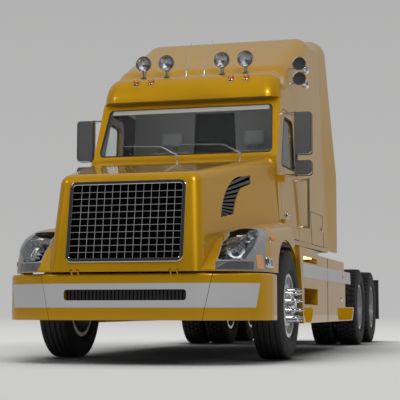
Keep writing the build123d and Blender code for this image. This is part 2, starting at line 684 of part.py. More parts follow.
def hood_parts():
    """Hood shell with its lamp bezels and lenses."""
    outer = hood_centre(0) + fender(0) + flipped(fender(0))
    inner = hood_centre(HOOD_T) + fender(HOOD_T) + flipped(fender(HOOD_T))
    skin = outer - inner - arch_cut()
    height = GRILLE_Z[1] - GRILLE_Z[0]
    hole = RectangleRounded(GRILLE_W - 2 * GRILLE_RIM + 26, height - 2 * GRILLE_RIM + 26, 47)
    vent = vent_pocket()
    skin = skin - extrude(grille_plane() * Pos(0, 0, -60) * hole, amount=120) - vent - flipped(vent)
    front = fender(0) - fender(HOOD_T)
    bezel = (front & lamp_prism(BEZEL, BEZEL_R, 0)) - lamp_prism(LENS, LENS_R, 0)
    lens = front & lamp_prism(LENS, LENS_R, -SEAT)
    cut = lamp_prism(BEZEL, BEZEL_R, SEAT)
    eye, bore, slot = hood_lug()
    skin = skin - cut - flipped(cut) - slot - flipped(slot) + eye + flipped(eye) - bore - flipped(bore)
    return skin, both(bezel), both(lens)


# Cab


def cab_lower(inset):
    """Lower cab and sleeper up to the roof, its outer faces moved inwards."""
    (y0, z0), (y1, z1) = SCREEN_LOW, SCREEN_TOP
    top = ROOF_Z + inset
    head = (y0 + (y1 - y0) * (top - z0) / (z1 - z0), top)
    points = [(CAB_FRONT, CAB_FLOOR_Z), COWL_TOP, SCREEN_LOW, head, (CAB_REAR, top), (CAB_REAR, CAB_FLOOR_Z)]
    face = make_face(Polyline(*points, close=True))
    if inset:
        face = offset(face, amount=-inset, kind=Kind.INTERSECTION)
    return between_sides(extrude(Plane.YZ * face, amount=1400, both=True), CAB_SIDE, inset)


def roof_upper(inset):
    """Roof from the brow over the crest to the rear, its outer faces moved inwards."""
    base = ROOF_Z - inset
    turn = radians(90 - SHELF_SLOPE)
    brow = (BROW_Y, ROOF_Z)
    brow_mid = (BROW_Y + BROW_R * (1 - cos(turn / 2)), ROOF_Z + BROW_R * sin(turn / 2))
    brow_end = (BROW_Y + BROW_R * (1 - cos(turn)), ROOF_Z + BROW_R * sin(turn))
    shelf_end = (SHELF_END_Y, brow_end[1] + (SHELF_END_Y - brow_end[0]) / tan(turn))
    tail = (CAB_REAR, ROOF_REAR_Z)
    crown = FilletPolyline(brow_end, shelf_end, RISER_END, CREST, tail, radius=[150, 300, 600])
    edges = [ThreePointArc(brow, brow_mid, brow_end), *crown.edges()]
    edges.append(Polyline(tail, (CAB_REAR, base), (BROW_Y, base)))
    if inset:
        edges.append(Line((BROW_Y, base), brow))
    face = make_face(edges)
    if inset:
        face = offset(face, amount=-inset, kind=Kind.INTERSECTION)
    body = between_sides(extrude(Plane.YZ * face, amount=1400, both=True), CAB_SIDE, inset)
    rim = [
        e for e in on_side(body.edges(), CAB_SIDE, inset)
        if e.center().Z > ROOF_Z + 5 and e.center().Y < CAB_REAR - inset - 5
    ]
    return fillet(rim, ROOF_EDGE_R - inset)


def cab_body(inset):
    """Whole cab as a solid, all its faces moved inwards."""
    return cab_lower(inset) + roof_upper(inset)


def door_prism(grow):
    """Door outline through the left side, grown by a gap."""
    face = outline(DOOR, [40, 60, 110, 90, 40])
    if grow:
        face = offset(face, amount=grow)
    return extrude(Plane.YZ.offset(700) * face, amount=500)


def window_prism(grow):
    """Door window outline through the left side."""
    face = outline(WINDOW, [40, 90, 60, 40])
    if grow:
        face = offset(face, amount=grow)
    return extrude(Plane.YZ.offset(700) * face, amount=500)


def screen_prism(grow):
    """Windscreen outline through the front of the cab."""
    (low_x, low_z), (top_x, top_z) = SCREEN
    points = [(-low_x, low_z), (low_x, low_z), (top_x, top_z), (-top_x, top_z)]
    face = outline(points, 50)
    if grow:
        face = offset(face, amount=grow)
    front = Plane(origin=(0, 800, 0), x_dir=(1, 0, 0), z_dir=(0, -1, 0))
    return extrude(front * face, amount=500)


def hinge_parts():
    """Left door hinges: the pins with their leaves on the cowl, and the barrels on the door."""
    x, y = DOOR_AXIS
    fixed, moving = Part(), Part()
    for z in HINGE_Z:
        fixed += rod((x, y, z - 40), (x, y, z + 38), 7)
        fixed += rod((x, y, z - 40), (x, y, z - 2), 14)
        fixed += block((x - 70, x), (y - 34, y - 6), (z - 40, z - 2))
        fixed += block((x - 14, x), (y - 14, y), (z - 40, z - 2))
        barrel_part = rod((x, y, z), (x, y, z + 38), 14) + block((x - 70, x), (y + 6, y + 34), (z, z + 38))
        barrel_part += block((x - 14, x), (y, y + 14), (z, z + 38))
        moving += barrel_part - rod((x, y, z - 5), (x, y, z + 45), 7 + FIT)
    return fixed, moving


def cab_parts(outer):
    """Cab panels, glass and left door."""
    shell = outer - cab_body(CAB_T)
    fixed, moving = hinge_parts()
    cut = door_prism(DOOR_GAP)
    body = shell - cut - flipped(cut) - screen_prism(0)
    wide, inside = (-1500, 1500), CAB_REAR - CAB_T
    tall = (CAB_FLOOR_Z + CAB_T, ROOF_Z)
    floor = body & block(wide, (0, 4000), (1000, tall[0]))
    roof = body & block(wide, (0, 4000), (tall[1], 4000))
    leaf = fixed - outer
    cowl = (body & block(wide, (0, 900), tall)) + leaf + flipped(leaf)
    sides = body & block(wide, (900, inside), tall)
    back = body & block(wide, (inside, 4000), tall)
    door = (shell & door_prism(0)) - window_prism(0) + (moving - outer)
    pane = between_sides(block(wide, (300, 1500), (1700, 2700)), CAB_SIDE, 20)
    pane -= between_sides(block(wide, (200, 1600), (1600, 2800)), CAB_SIDE, 26)
    glass = pane & window_prism(-SEAT)
    (y0, z0), (y1, z1) = SCREEN_LOW, SCREEN_TOP
    slope = Plane(origin=(0, y0, z0), x_dir=(1, 0, 0), z_dir=(0, -(z1 - z0), y1 - y0))
    sheet = extrude(slope.offset(-20) * Rectangle(2400, 1600), amount=8)
    screen = sheet & screen_prism(-SEAT)
    return {
        "cab_floor": floor,
        "cowl": cowl,
        "cab_sides": sides,
        "cab_back": back,
        "cab_roof": roof,
        "windscreen": screen,
        "door_left": door,
        "door_right": flipped(door),
        "door_glass_left": glass,
        "door_glass_right": flipped(glass),
    }


def mirror_left(outer):
    """Left mirror on its two arms: a tall upper head and a short lower one."""
    y = 790.0
    body = Part()
    for z0, z1 in ((1842.0, 2000.0), (2058.0, 2500.0)):
        head = block((1102, 1277), (y - 45, y + 25), (z0, z1))
        body += fillet(head.edges().filter_by(Axis.Y), 30)
    body += rod((1112, y, 1838), (1112, y, 2506), 13)
    for z in (1850.0, 2492.0):
        body += rod((880, y, z), (1112, y, z), 13)
    return body - outer


def dash():
    """Instrument panel across the cab with the column and steering wheel."""
    side = [(430, 1480), (680, 1480), (760, 1700), (740, 1900), (600, 1975), (430, 1960)]
    panel = slab_yz(side, (-880, 880))
    panel &= block((-900, 900), (CAB_FRONT + CAB_T + SEAT, 900), (1300, 2000))
    hub, lean = (SEAT_X, 860, 1810), 62.0
    wheel = Plane(origin=hub, x_dir=(1, 0, 0), z_dir=(0, sin(radians(lean)), cos(radians(lean))))
    ring = wheel * Torus(225, 16)
    spokes = wheel * (Box(440, 60, 14) + Cylinder(60, 40))
    column = rod((SEAT_X, 690, 1710), hub, 28)
    return panel + column + ring + spokes


def seat(x):
    """Pedestal, cushion, back and head rest."""
    floor = CAB_FLOOR_Z + CAB_T
    body = block((x - 190, x + 190), (1080, 1440), (floor, floor + 330))
    cushion = block((x - 250, x + 250), (1050, 1520), (floor + 320, floor + 470))
    body += fillet(cushion.edges(), 40)
    side = [(1430, floor + 440), (1560, floor + 440), (1690, floor + 1080), (1590, floor + 1080)]
    back = slab_yz(side, (x - 240, x + 240))
    body += fillet(back.edges().filter_by(Axis.X), 40)
    side = [(1590, floor + 1090), (1690, floor + 1090), (1720, floor + 1290), (1630, floor + 1290)]
    head = slab_yz(side, (x - 130, x + 130))
    body += fillet(head.edges(), 30)
    for post in (x - 60, x + 60):
        body += rod((post, 1640, floor + 1000), (post, 1660, floor + 1150), 10)
    return body


def bulkhead():
    """Partition between the seats and the sleeper, open in the middle."""
    floor = CAB_FLOOR_Z + CAB_T
    panel = cab_body(CAB_T + SEAT) & block((-1300, 1300), (1750, 1780), (floor, 3000))
    return panel - slab_xz([(-300, 1000), (300, 1000), (230, 2700), (-230, 2700)], (1700, 1800))


ROOF_LAMPS = [-562.0, -306.0, 306.0, 562.0]
CLEARANCE_LAMPS = [-600.0, -436.0, 436.0, 600.0]
CLEARANCE_Z = 2886.0


def roof_lamp(x, outer):
    """Round lamp on a short post."""
    centre = (x, 862.0, 3111.0)
    front, back = (x, 842.0, 3111.0), (x, 902.0, 3111.0)
    post = rod(centre, (x, 872.0, 2850.0), 18)
    return rod(front, back, 86, 60) + (post - outer)


def clearance_lamp(x, outer):
    """Small bullet-shaped lamp on the brow."""
    front = (x, 690.0, CLEARANCE_Z)
    return rod((x, 800.0, CLEARANCE_Z), front, 22) - outer + rod(front, (x, 672.0, CLEARANCE_Z), 22, 9)


def air_horn(z, outer):
    """Left-side trumpet on a stay."""
    x = 1110.0
    body = rod((x, 1000, z), (x, 1090, z), 72, 34) + rod((x, 1090, z), (x, 1330, z), 34, 20)
    body += rod((x, 1330, z), (x, 1400, z), 40)
    stay = rod((x, 1250, z), (700, 1250, z - 20), 12) - outer
    return body + max(stay.solids(), key=lambda s: s.center().X)


WIPERS = [
    # pivot X, elbow X, tip X
    (-64.0, -246.0, -678.0),
    (599.0, 417.0, -58.0),
]


def wiper(pivot, elbow, tip, outer):
    """Arm and blade lying just off the glass."""
    knee, end = (elbow, 470.0, 2152.0), (tip, 478.0, 2170.0)
    body = rod((pivot, 415.0, 2052.0), knee, 9) + rod(knee, end, 9) + Pos(*knee) * Sphere(9)
    post = rod((pivot, 415.0, 2056.0), (pivot, 415.0, 1980.0), 18)
    return body + (post - outer)


def grab_handle(outer):
    """Left grab tube behind the door, on two stand-offs."""
    x, y = 1105.0, 1550.0
    body = rod((x, y, 1350), (x, y, 1900), 16)
    for z in (1370.0, 1880.0):
        body += rod((900, y, z), (x, y, z), 14) - outer
    return body


EXTENDER = [
    # Y, then X and Z of the outer line from the foot up and over
    (CAB_REAR + SEAT, [(1096, 1170), (1060, 2090), (1012, 3200), (985, 3690), (760, 3690)]),
    (3350.0, [(1145, 1170), (1145, 2090), (1050, 3200), (1000, 3835), (760, 3835)]),
]


def side_extender():
    """Left side panel that closes the gap behind the sleeper, flaring outwards."""
    sections = []
    for y, points in EXTENDER:
        inner = [(x - 24, z) for x, z in points[:3]] + [(points[3][0] - 24, points[3][1] - 24)]
        inner.append((points[4][0], points[4][1] - 24))
        radii = [0, 900, 900, 230, 0, 0, 206, 876, 876, 0]
        face = outline(points + inner[::-1], radii)
        sections.append(Plane(origin=(0, y, 0), x_dir=(1, 0, 0), z_dir=(0, -1, 0)) * face)
    return loft(sections, ruled=True)


# Fifth wheel


def fifth_wheel_base():
    """Two pivot brackets on the rails with their pins."""
    foot, head = RAIL_Z[1], FIFTH_PIVOT_Z + 40
    body = Pos(0, FIFTH_Y, 0) * slab_yz([(-190, foot), (190, foot), (60, head), (-60, head)], (350, 400))
    return body + rod((300, FIFTH_Y, FIFTH_PIVOT_Z), (360, FIFTH_Y, FIFTH_PIVOT_Z), FIFTH_PIN_R)


def fifth_wheel_plate():
    """Rocking top plate with its kingpin bore, throat and pivot ears."""
    top = FIFTH_TOP_Z
    half = [(420, -380), (450, -200), (450, 200), (330, 480)]
    plate = slab_xy(half + [(-x, y) for x, y in reversed(half)], (top - 40, top), 40)
    plate -= slab_xy([(-40, 130), (40, 130), (220, 500), (-220, 500)], (top - 60, top + 10))
    plate += rod((0, 0, top - 80), (0, 0, top - 20), 110)
    plate -= rod((0, 0, top - 90), (0, 0, top + 10), KINGPIN_BORE_R)
    for x in ((-340, -305), (305, 340)):
        foot = FIFTH_PIVOT_Z - 45
        ear = slab_yz([(-90, top - 30), (90, top - 30), (45, foot), (-45, foot)], x)
        plate += ear - rod((-400, 0, FIFTH_PIVOT_Z), (400, 0, FIFTH_PIVOT_Z), FIFTH_PIN_R + FIT)
    return Pos(0, FIFTH_Y, 0) * plate


def build():
    """Every node's solids, laid out from the front axle."""
    outer = cab_body(0)
    skin, bezels, lenses = hood_parts()
    spindle = knuckle()
    door_mirror = mirror_left(outer)
    lamps = [roof_lamp(x, outer) for x in ROOF_LAMPS]
    lamps += [clearance_lamp(x, outer) for x in CLEARANCE_LAMPS]
    nodes = {
        "ladder_frame": ladder_frame(),
        "front_axle": front_axle(),
        "leaf_springs": both(leaf_spring()),
        "rear_axles": rear_axles(),
        "rear_suspension": rear_suspension(),
        "powertrain": powertrain(),
        "driveshafts": driveshafts(),
        "radiator": radiator(),
        "bumper": bumper(),
        "fuel_tanks": both(fuel_tank()),
        "step_boxes": both(step_box()),
        "side_fairings": both(side_fairing()),
        "mudflaps": both(mudflap()),
        "tail_lamps": both(tail_lamp()),
        "fifth_wheel_base": both(fifth_wheel_base()),
        **cab_parts(outer),
        "dash": dash(),
        "seats": [seat(-SEAT_X), seat(SEAT_X)],
        "bulkhead": bulkhead(),
        "roof_lamps": lamps,
        "air_horns": [air_horn(z, outer) for z in (3060.0, 2900.0)],
        "wipers": [wiper(*row, outer) for row in WIPERS],
        "grab_handles": both(grab_handle(outer)),
        "side_extenders": both(side_extender()),
        "hood_shell": skin,
        "grille": grille(),
        "headlamp_bezels": bezels,
        "headlamp_lenses": lenses,
        "mirror_left": door_mirror,
        "mirror_right": flipped(door_mirror),
        "knuckle_left": spindle,
        "knuckle_right": flipped(spindle),
        "tie_rod": tie_rod(),
        "fifth_wheel_plate": fifth_wheel_plate(),
    }
    place = Pos(FRONT_TYRE_X, 0, TYRE_R)
    ring, rim = tyre(), front_rim()
    nodes["tyre_front_left"] = place * ring
    nodes["rim_front_left"] = place * rim
    nodes["tyre_front_right"] = flipped(place * ring)
    nodes["rim_front_right"] = flipped(place * rim)
    twin = [Pos(side * TWIN_PITCH / 2, 0, 0) * ring for side in (-1, 1)]
    hub = rear_hub()
    for number, y in ((1, REAR_AXLE_Y), (2, REAR_AXLE_Y + TANDEM)):
        place = Pos(TWIN_X, y, TYRE_R)
        nodes[f"tyres_rear_{number}_left"] = [place * one for one in twin]
        nodes[f"hub_rear_{number}_left"] = place * hub
        nodes[f"tyres_rear_{number}_right"] = [flipped(place * one) for one in twin]
        nodes[f"hub_rear_{number}_right"] = flipped(place * hub)
    return nodes


HERE = os.path.dirname(os.path.abspath(__file__))
FOLDER = os.path.join(HERE, "parts")
os.makedirs(FOLDER, exist_ok=True)
NODES = {name: pieces if isinstance(pieces, list) else [pieces] for name, pieces in build().items()}
SOLIDS = [solid for group in NODES.values() for piece in group for solid in piece.solids()]
SPAN = Compound(SOLIDS).bounding_box()
TO_ORIGIN = Pos(0, -(SPAN.min.Y + SPAN.max.Y) / 2, 0)
for name, group in NODES.items():
    solids = [TO_ORIGIN * solid for piece in group for solid in piece.solids()]
    export_step(Compound(solids), os.path.join(FOLDER, f"{name}.step"))
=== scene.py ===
# %% [markdown]
# A highway tractor truck with a tall sleeper cab. The solid model arrives as a fixed frame of named nodes
# on moving bodies; this lesson dresses it: camera, light, finishes, then each piece that the solids leave
# plain.

# %% Load the frame
from math import atan2, cos, exp, pi, radians, sin

import bmesh
import bpy
from mathutils import Matrix, Vector


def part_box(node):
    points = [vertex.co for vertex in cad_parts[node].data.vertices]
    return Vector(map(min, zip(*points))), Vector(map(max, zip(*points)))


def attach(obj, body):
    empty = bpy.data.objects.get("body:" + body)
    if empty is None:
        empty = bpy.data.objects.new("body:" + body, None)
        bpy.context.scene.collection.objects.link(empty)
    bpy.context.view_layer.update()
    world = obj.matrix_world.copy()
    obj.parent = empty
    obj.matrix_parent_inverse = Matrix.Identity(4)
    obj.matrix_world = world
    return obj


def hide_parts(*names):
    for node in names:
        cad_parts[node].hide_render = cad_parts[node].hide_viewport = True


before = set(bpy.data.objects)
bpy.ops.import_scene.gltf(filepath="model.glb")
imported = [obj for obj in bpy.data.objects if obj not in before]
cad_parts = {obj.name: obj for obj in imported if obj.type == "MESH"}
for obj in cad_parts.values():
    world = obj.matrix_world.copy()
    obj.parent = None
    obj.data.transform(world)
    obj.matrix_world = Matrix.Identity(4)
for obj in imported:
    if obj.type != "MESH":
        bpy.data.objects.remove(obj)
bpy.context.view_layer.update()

# %% [markdown]
# Truck makers measure everything from the front axle, in millimetres, and so do the numbers below. The axle's
# place is read from the front tyre, so the dressing follows the solids if they are ever packed again.

# %% Measure from the front axle
TYRE_LOW, TYRE_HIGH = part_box("tyre_front_left")
AXLE_Y = (TYRE_LOW.y + TYRE_HIGH.y) / 2


def mm(x, y, z):
    """Point in millimetres from the front axle, in the frame's metres."""
    return Vector((x / 1000, y / 1000 + AXLE_Y, z / 1000))


print("front axle at", round(AXLE_Y, 4))

# %% [markdown]
# The picture was taken from low down at the truck's left front, with a long lens. A lens of 105.9 mm on a
# 36 mm sensor gives that narrow view; the place and the two angles come from lining up wheels, roof and
# bumper.

# %% Camera
CAMERA_PLACE = (3260, -11082, 474)
CAMERA_TILT, CAMERA_TURN = 95.32, 14.98
scene = bpy.context.scene
scene.view_settings.view_transform = "Standard"
camera = bpy.data.objects.new("camera", bpy.data.cameras.new("camera"))
scene.collection.objects.link(camera)
camera.data.lens = 105.9
camera.data.sensor_width = 36.0
camera.location = mm(*CAMERA_PLACE)
camera.rotation_euler = (radians(CAMERA_TILT), 0, radians(CAMERA_TURN))
scene.camera = camera
print("camera", camera.location)

# %% [markdown]
# A pale floor runs out to a grey surround. The floor could be one diffuse plane, but its far edge would then
# end in a dark line, so it fades into a plain glow of the surround's tone with distance from the truck. Close
# under the truck both are darkened with painted shade, by how much of the sky the floor can see.

# %% Floor tones
GREY = 0.50
FLOOR_PALE = 0.52
FLOOR_HALF = 90
SHADE_REACH = 1.6
FLOOR_TONES = [
    # how far back in metres, tone of the glow
    (-10, 0.60), (-3, 0.61), (1, 0.67), (5, 0.68), (11, 0.645), (22, 0.585), (47, 0.55), (90, GREY),
]


def new_material(name):
    """Empty node material with its tree, shader and output."""
    made = bpy.data.materials.new(name)
    made.use_nodes = True
    tree = made.node_tree
    return made, tree.nodes, tree.links, tree.nodes["Principled BSDF"]


def span_of(nodes, low, high, out=(0.0, 1.0), smooth=True):
    """Node that maps low..high onto another range."""
    span = nodes.new("ShaderNodeMapRange")
    if smooth:
        span.interpolation_type = "SMOOTHSTEP"
    for socket, value in zip(("From Min", "From Max", "To Min", "To Max"), (low, high, *out)):
        span.inputs[socket].default_value = value
    return span


def grey_ramp(nodes, stops, blue):
    """Colour ramp through (place, grey) stops, with a little less blue."""
    ramp = nodes.new("ShaderNodeValToRGB")
    elements = ramp.color_ramp.elements
    for _ in stops[2:]:
        elements.new(0.5)
    for element, (place, grey) in zip(elements, stops):
        element.position = place
        element.color = (grey, grey, grey * blue, 1)
    return ramp


print("floor tones", len(FLOOR_TONES))

# %% [markdown]
# The floor's nodes could be set up by hand in the shader editor; written out, they read as a list of what
# feeds what. One branch is the lit floor, the other its glow, and the distance from the truck mixes them.


# %% Floor
def studio_floor():
    """Pale matt floor that turns into a plain glow with distance, both given painted shade close under the
    truck.
    """
    made, nodes, links, shader = new_material("studio_floor")
    shader.inputs["Roughness"].default_value = 0.75
    shade = nodes.new("ShaderNodeAmbientOcclusion")
    shade.samples = 8
    shade.inputs["Distance"].default_value = SHADE_REACH
    dark = span_of(nodes, 0.42, 0.88, (0.02, 1.0))
    pale = nodes.new("ShaderNodeMath")
    pale.operation = "MULTIPLY"
    pale.inputs[1].default_value = FLOOR_PALE
    glow = nodes.new("ShaderNodeEmission")
    place = nodes.new("ShaderNodeNewGeometry")
    axes = nodes.new("ShaderNodeSeparateXYZ")
    near_y, far_y = FLOOR_TONES[0][0], FLOOR_TONES[-1][0]
    back = span_of(nodes, near_y, far_y, smooth=False)
    tone = grey_ramp(nodes, [((y - near_y) / (far_y - near_y), grey) for y, grey in FLOOR_TONES], 0.99)
    far = nodes.new("ShaderNodeVectorMath")
    far.operation = "LENGTH"
    fade = span_of(nodes, 0.0, 5.0)
    rim = span_of(nodes, 15.0, 85.0)
    ends = nodes.new("ShaderNodeMix")
    ends.data_type = "RGBA"
    ends.inputs[7].default_value = (GREY, GREY, GREY, 1)
    mix = nodes.new("ShaderNodeMixShader")
    for source, target in (
        (shade.outputs["AO"], dark.inputs["Value"]),
        (dark.outputs["Result"], pale.inputs[0]),
        (pale.outputs[0], shader.inputs["Base Color"]),
        (dark.outputs["Result"], glow.inputs["Strength"]),
        (place.outputs["Position"], axes.inputs[0]),
        (axes.outputs["Y"], back.inputs["Value"]),
        (back.outputs["Result"], tone.inputs["Fac"]),
        (place.outputs["Position"], far.inputs[0]),
        (far.outputs["Value"], rim.inputs["Value"]),
        (rim.outputs["Result"], ends.inputs[0]),
        (tone.outputs["Color"], ends.inputs[6]),
        (ends.outputs[2], glow.inputs["Color"]),
        (far.outputs["Value"], fade.inputs["Value"]),
        (fade.outputs["Result"], mix.inputs["Fac"]),
        (shader.outputs[0], mix.inputs[1]),
        (glow.outputs[0], mix.inputs[2]),
        (mix.outputs[0], nodes["Material Output"].inputs["Surface"]),
    ):
        links.new(source, target)
    return made


bm = bmesh.new()
bmesh.ops.create_grid(bm, x_segments=8, y_segments=8, size=FLOOR_HALF)
mesh = bpy.data.meshes.new("floor")
bm.to_mesh(mesh)
bm.free()
mesh.materials.append(studio_floor())
floor = bpy.data.objects.new("floor", mesh)
scene.collection.objects.link(floor)
print("floor laid")

# %% [markdown]
# The world gives an even base of light. Camera and glass rays see a grey that darkens upwards; gloss sees its
# own tone, dark ahead and grey behind, because paint under a bright even sky would look washed out.

# %% World
world = bpy.data.worlds.new("soft_studio")
scene.world = world
world.use_nodes = True
nodes, links = world.node_tree.nodes, world.node_tree.links
even = nodes["Background"]
even.inputs["Color"].default_value = (1, 1, 1, 1)
even.inputs["Strength"].default_value = 0.30
seen = nodes.new("ShaderNodeBackground")
mirror = nodes.new("ShaderNodeBackground")
way = nodes.new("ShaderNodeTexCoord")
split = nodes.new("ShaderNodeSeparateXYZ")
links.new(way.outputs["Generated"], split.inputs[0])


def tone_by(axis, stops, target):
    """Grey that changes with one part of the ray's direction, feeding a background."""
    span = span_of(nodes, -1.0, 1.0, smooth=False)
    ramp = grey_ramp(nodes, stops, 0.995)
    links.new(split.outputs[axis], span.inputs["Value"])
    links.new(span.outputs["Result"], ramp.inputs["Fac"])
    links.new(ramp.outputs["Color"], target.inputs["Color"])


def choose(test, first, second):
    """Pass the first background on, or the second for rays that the test marks."""
    mix = nodes.new("ShaderNodeMixShader")
    links.new(test, mix.inputs["Fac"])
    links.new(first, mix.inputs[1])
    links.new(second, mix.inputs[2])
    return mix.outputs[0]


tone_by("Z", [(0.5, GREY), (0.65, 0.435)], seen)
tone_by("Y", [(0.0, 0.03), (0.35, 0.07), (0.6, 0.27), (0.8, 0.36)], mirror)
rays = nodes.new("ShaderNodeLightPath")
direct = nodes.new("ShaderNodeMath")
direct.use_clamp = True
links.new(rays.outputs["Is Camera Ray"], direct.inputs[0])
links.new(rays.outputs["Is Transmission Ray"], direct.inputs[1])
unseen = choose(rays.outputs["Is Glossy Ray"], even.outputs[0], mirror.outputs[0])
shown = choose(direct.outputs[0], unseen, seen.outputs[0])
links.new(shown, nodes["World Output"].inputs["Surface"])
print("world", world.name)

# %% [markdown]
# Lamps are soft panels: a key ahead on the truck's left, a wide one overhead, weak fills on its right and
# left and one behind. Two small ones light the cab, because glass stops lamplight.

# %% Lamps
LAMP_TARGET = (0, 800, 1400)
LAMPS = [
    # name, place in mm, size in m, watts, seen in gloss
    ("key", (4500, -9000, 8000), (2.5, 2.0), 390, True),
    ("overhead", (0, -2500, 10500), (8.0, 7.0), 700, False),
    ("fill", (-7000, -7500, 8000), (2.0, 2.0), 130, True),
    ("rear", (-3000, 16000, 7000), (6.0, 4.0), 300, False),
    ("side", (9000, 3000, 3500), (3.0, 2.0), 110, False),
]
CAB_LAMPS = [
    # name, place in mm, size in m, watts, tilt in degrees
    ("cab_down", (0, 1050, 2590), (1.5, 0.9), 0.75, 35),
    ("cab_up", (0, 1000, 2250), (1.5, 0.6), 0.3, 195),
]


def panel_lamp(name, place, size, watts):
    """Soft rectangular lamp at a place in millimetres."""
    data = bpy.data.lights.new(name, "AREA")
    data.shape = "RECTANGLE"
    data.size, data.size_y = size
    data.energy = watts
    lamp = bpy.data.objects.new(name, data)
    lamp.location = mm(*place)
    scene.collection.objects.link(lamp)
    return lamp


for name, place, size, watts, glossy in LAMPS:
    lamp = panel_lamp(name, place, size, watts)
    lamp.visible_glossy = glossy
    lamp.rotation_euler = (mm(*LAMP_TARGET) - lamp.location).to_track_quat("-Z", "Y").to_euler()
for name, place, size, watts, tilt in CAB_LAMPS:
    lamp = panel_lamp(name, place, size, watts)
    lamp.rotation_euler = (radians(tilt), 0, 0)
    lamp.visible_glossy = lamp.visible_camera = lamp.visible_transmission = False
print("lamps", [row[0] for row in LAMPS + CAB_LAMPS])

# %% [markdown]
# Real finishes are never one flat colour: paint has a faint cloud and orange peel, castings are pitted,
# rubber is dusty. One helper gives every finish its cloud, its uneven gloss and its grain, from the piece's
# own coordinates.

# %% Finish helper
GLOSS_SPREAD = 0.3


def finish(name, colour, rough, metal=0.0, cloud=0.05, cloud_size=0.25, grain=0.002, bump=0.05, **sockets):
    """Principled finish with a cloudy colour, uneven gloss and a fine grain."""
    made, nodes, links, shader = new_material(name)
    place = nodes.new("ShaderNodeTexCoord")
    patch = nodes.new("ShaderNodeTexNoise")
    patch.inputs["Scale"].default_value = 1 / cloud_size
    patch.inputs["Detail"].default_value = 5.0
    tint = nodes.new("ShaderNodeMix")
    tint.data_type = "RGBA"
    tint.inputs[6].default_value = (*[c * (1 - cloud) for c in colour], 1)
    tint.inputs[7].default_value = (*[min(1, c * (1 + cloud)) for c in colour], 1)
    gloss = nodes.new("ShaderNodeMapRange")
    gloss.inputs["To Min"].default_value = rough - GLOSS_SPREAD * rough
    gloss.inputs["To Max"].default_value = min(1.0, rough + GLOSS_SPREAD * rough)
    fine = nodes.new("ShaderNodeTexNoise")
    fine.inputs["Scale"].default_value = 1 / grain
    fine.inputs["Detail"].default_value = 3.0
    relief = nodes.new("ShaderNodeBump")
    relief.inputs["Strength"].default_value = bump
    relief.inputs["Distance"].default_value = grain / 2
    links.new(place.outputs["Object"], patch.inputs["Vector"])
    links.new(place.outputs["Object"], fine.inputs["Vector"])
    links.new(patch.outputs["Fac"], tint.inputs[0])
    links.new(patch.outputs["Fac"], gloss.inputs["Value"])
    links.new(fine.outputs["Fac"], relief.inputs["Height"])
    links.new(tint.outputs[2], shader.inputs["Base Color"])
    links.new(gloss.outputs["Result"], shader.inputs["Roughness"])
    links.new(relief.outputs["Normal"], shader.inputs["Normal"])
    shader.inputs["Metallic"].default_value = metal
    for socket, value in sockets.items():
        shader.inputs[socket.replace("_", " ")].default_value = value
    return made


print("finish helper ready")

# %% [markdown]
# The palette follows the truck: clear-coated gold, silver bands, chrome and polished alloy, blacks from satin
# paint to rubber, greys for the trim, and clear, amber and red lenses. After the name come the colour, the
# roughness, the metal, then the cloud's strength and size in metres, the grain's size and its relief.

# %% Finishes
COAT = {"Coat_Weight": 1.0, "Coat_Roughness": 0.03, "Coat_IOR": 1.33, "Specular_IOR_Level": 0.2}
GOLD = finish("gold_paint", (0.55, 0.29, 0.004), 0.40, 0.55, 0.04, 0.6, 0.004, 0.015, **COAT)
SILVER = finish("silver_band", (0.48, 0.48, 0.485), 0.36, 0.25, 0.03, 0.4, 0.002, 0.03, Coat_Weight=0.3)
BEZEL_GREY = finish("bezel_grey", (0.27, 0.27, 0.275), 0.34, 0.3, 0.04, 0.2, 0.002, 0.03, Coat_Weight=0.3)
CHROME = finish("chrome", (0.76, 0.76, 0.77), 0.09, 1.0, 0.02, 0.1, 0.004, 0.02)
ALLOY = finish("polished_alloy", (0.62, 0.62, 0.63), 0.24, 0.7, 0.06, 0.05, 0.002, 0.06)
BLACK = finish("chassis_black", (0.022, 0.022, 0.024), 0.42, 0.0, 0.25, 0.12, 0.003, 0.15)
CAST = finish("cast_iron", (0.075, 0.073, 0.07), 0.62, 0.6, 0.3, 0.05, 0.004, 0.5)
STEEL = finish("worn_steel", (0.30, 0.29, 0.28), 0.38, 1.0, 0.2, 0.06, 0.002, 0.2)
TYRE = finish("tyre_rubber", (0.017, 0.017, 0.018), 0.74, 0.0, 0.22, 0.08, 0.002, 0.35)
RUBBER = finish("black_rubber", (0.016, 0.016, 0.016), 0.6, 0.0, 0.2, 0.05, 0.002, 0.25)
# Near-black with no shine: painted shade, for openings and hollows where only shade would be seen.
SHADE_BLACK = finish("painted_shade_black", (0.002, 0.002, 0.002), 0.9, 0.0, 0.1, 0.05, 0.002, 0.1, Specular_IOR_Level=0.0)
PLASTIC = finish("grained_black", (0.024, 0.024, 0.026), 0.5, 0.0, 0.1, 0.05, 0.0015, 0.4)
GREY_TRIM = finish("grey_trim", (0.34, 0.336, 0.33), 0.62, 0.0, 0.06, 0.1, 0.0015, 0.4)
DARK_TRIM = finish("dark_trim", (0.062, 0.062, 0.064), 0.6, 0.0, 0.08, 0.1, 0.0015, 0.4)
HEADLINER = finish("headliner_felt", (0.80, 0.785, 0.76), 0.95, 0.0, 0.06, 0.05, 0.001, 0.6, Sheen_Weight=0.3)
AMBER = finish("amber_lens", (0.50, 0.17, 0.015), 0.12, 0.0, 0.1, 0.02, 0.004, 0.25, Coat_Weight=1.0)
RED = finish("red_lens", (0.42, 0.012, 0.012), 0.12, 0.0, 0.1, 0.02, 0.004, 0.25, Coat_Weight=1.0)
CLEAR = {"Transmission_Weight": 1.0, "IOR": 1.15}
GLASS = finish("clear_glass", (0.90, 0.93, 0.93), 0.0, 0.0, 0.01, 0.4, 0.05, 0.0, **CLEAR)
COVER = {"Transmission_Weight": 1.0, "IOR": 1.2}
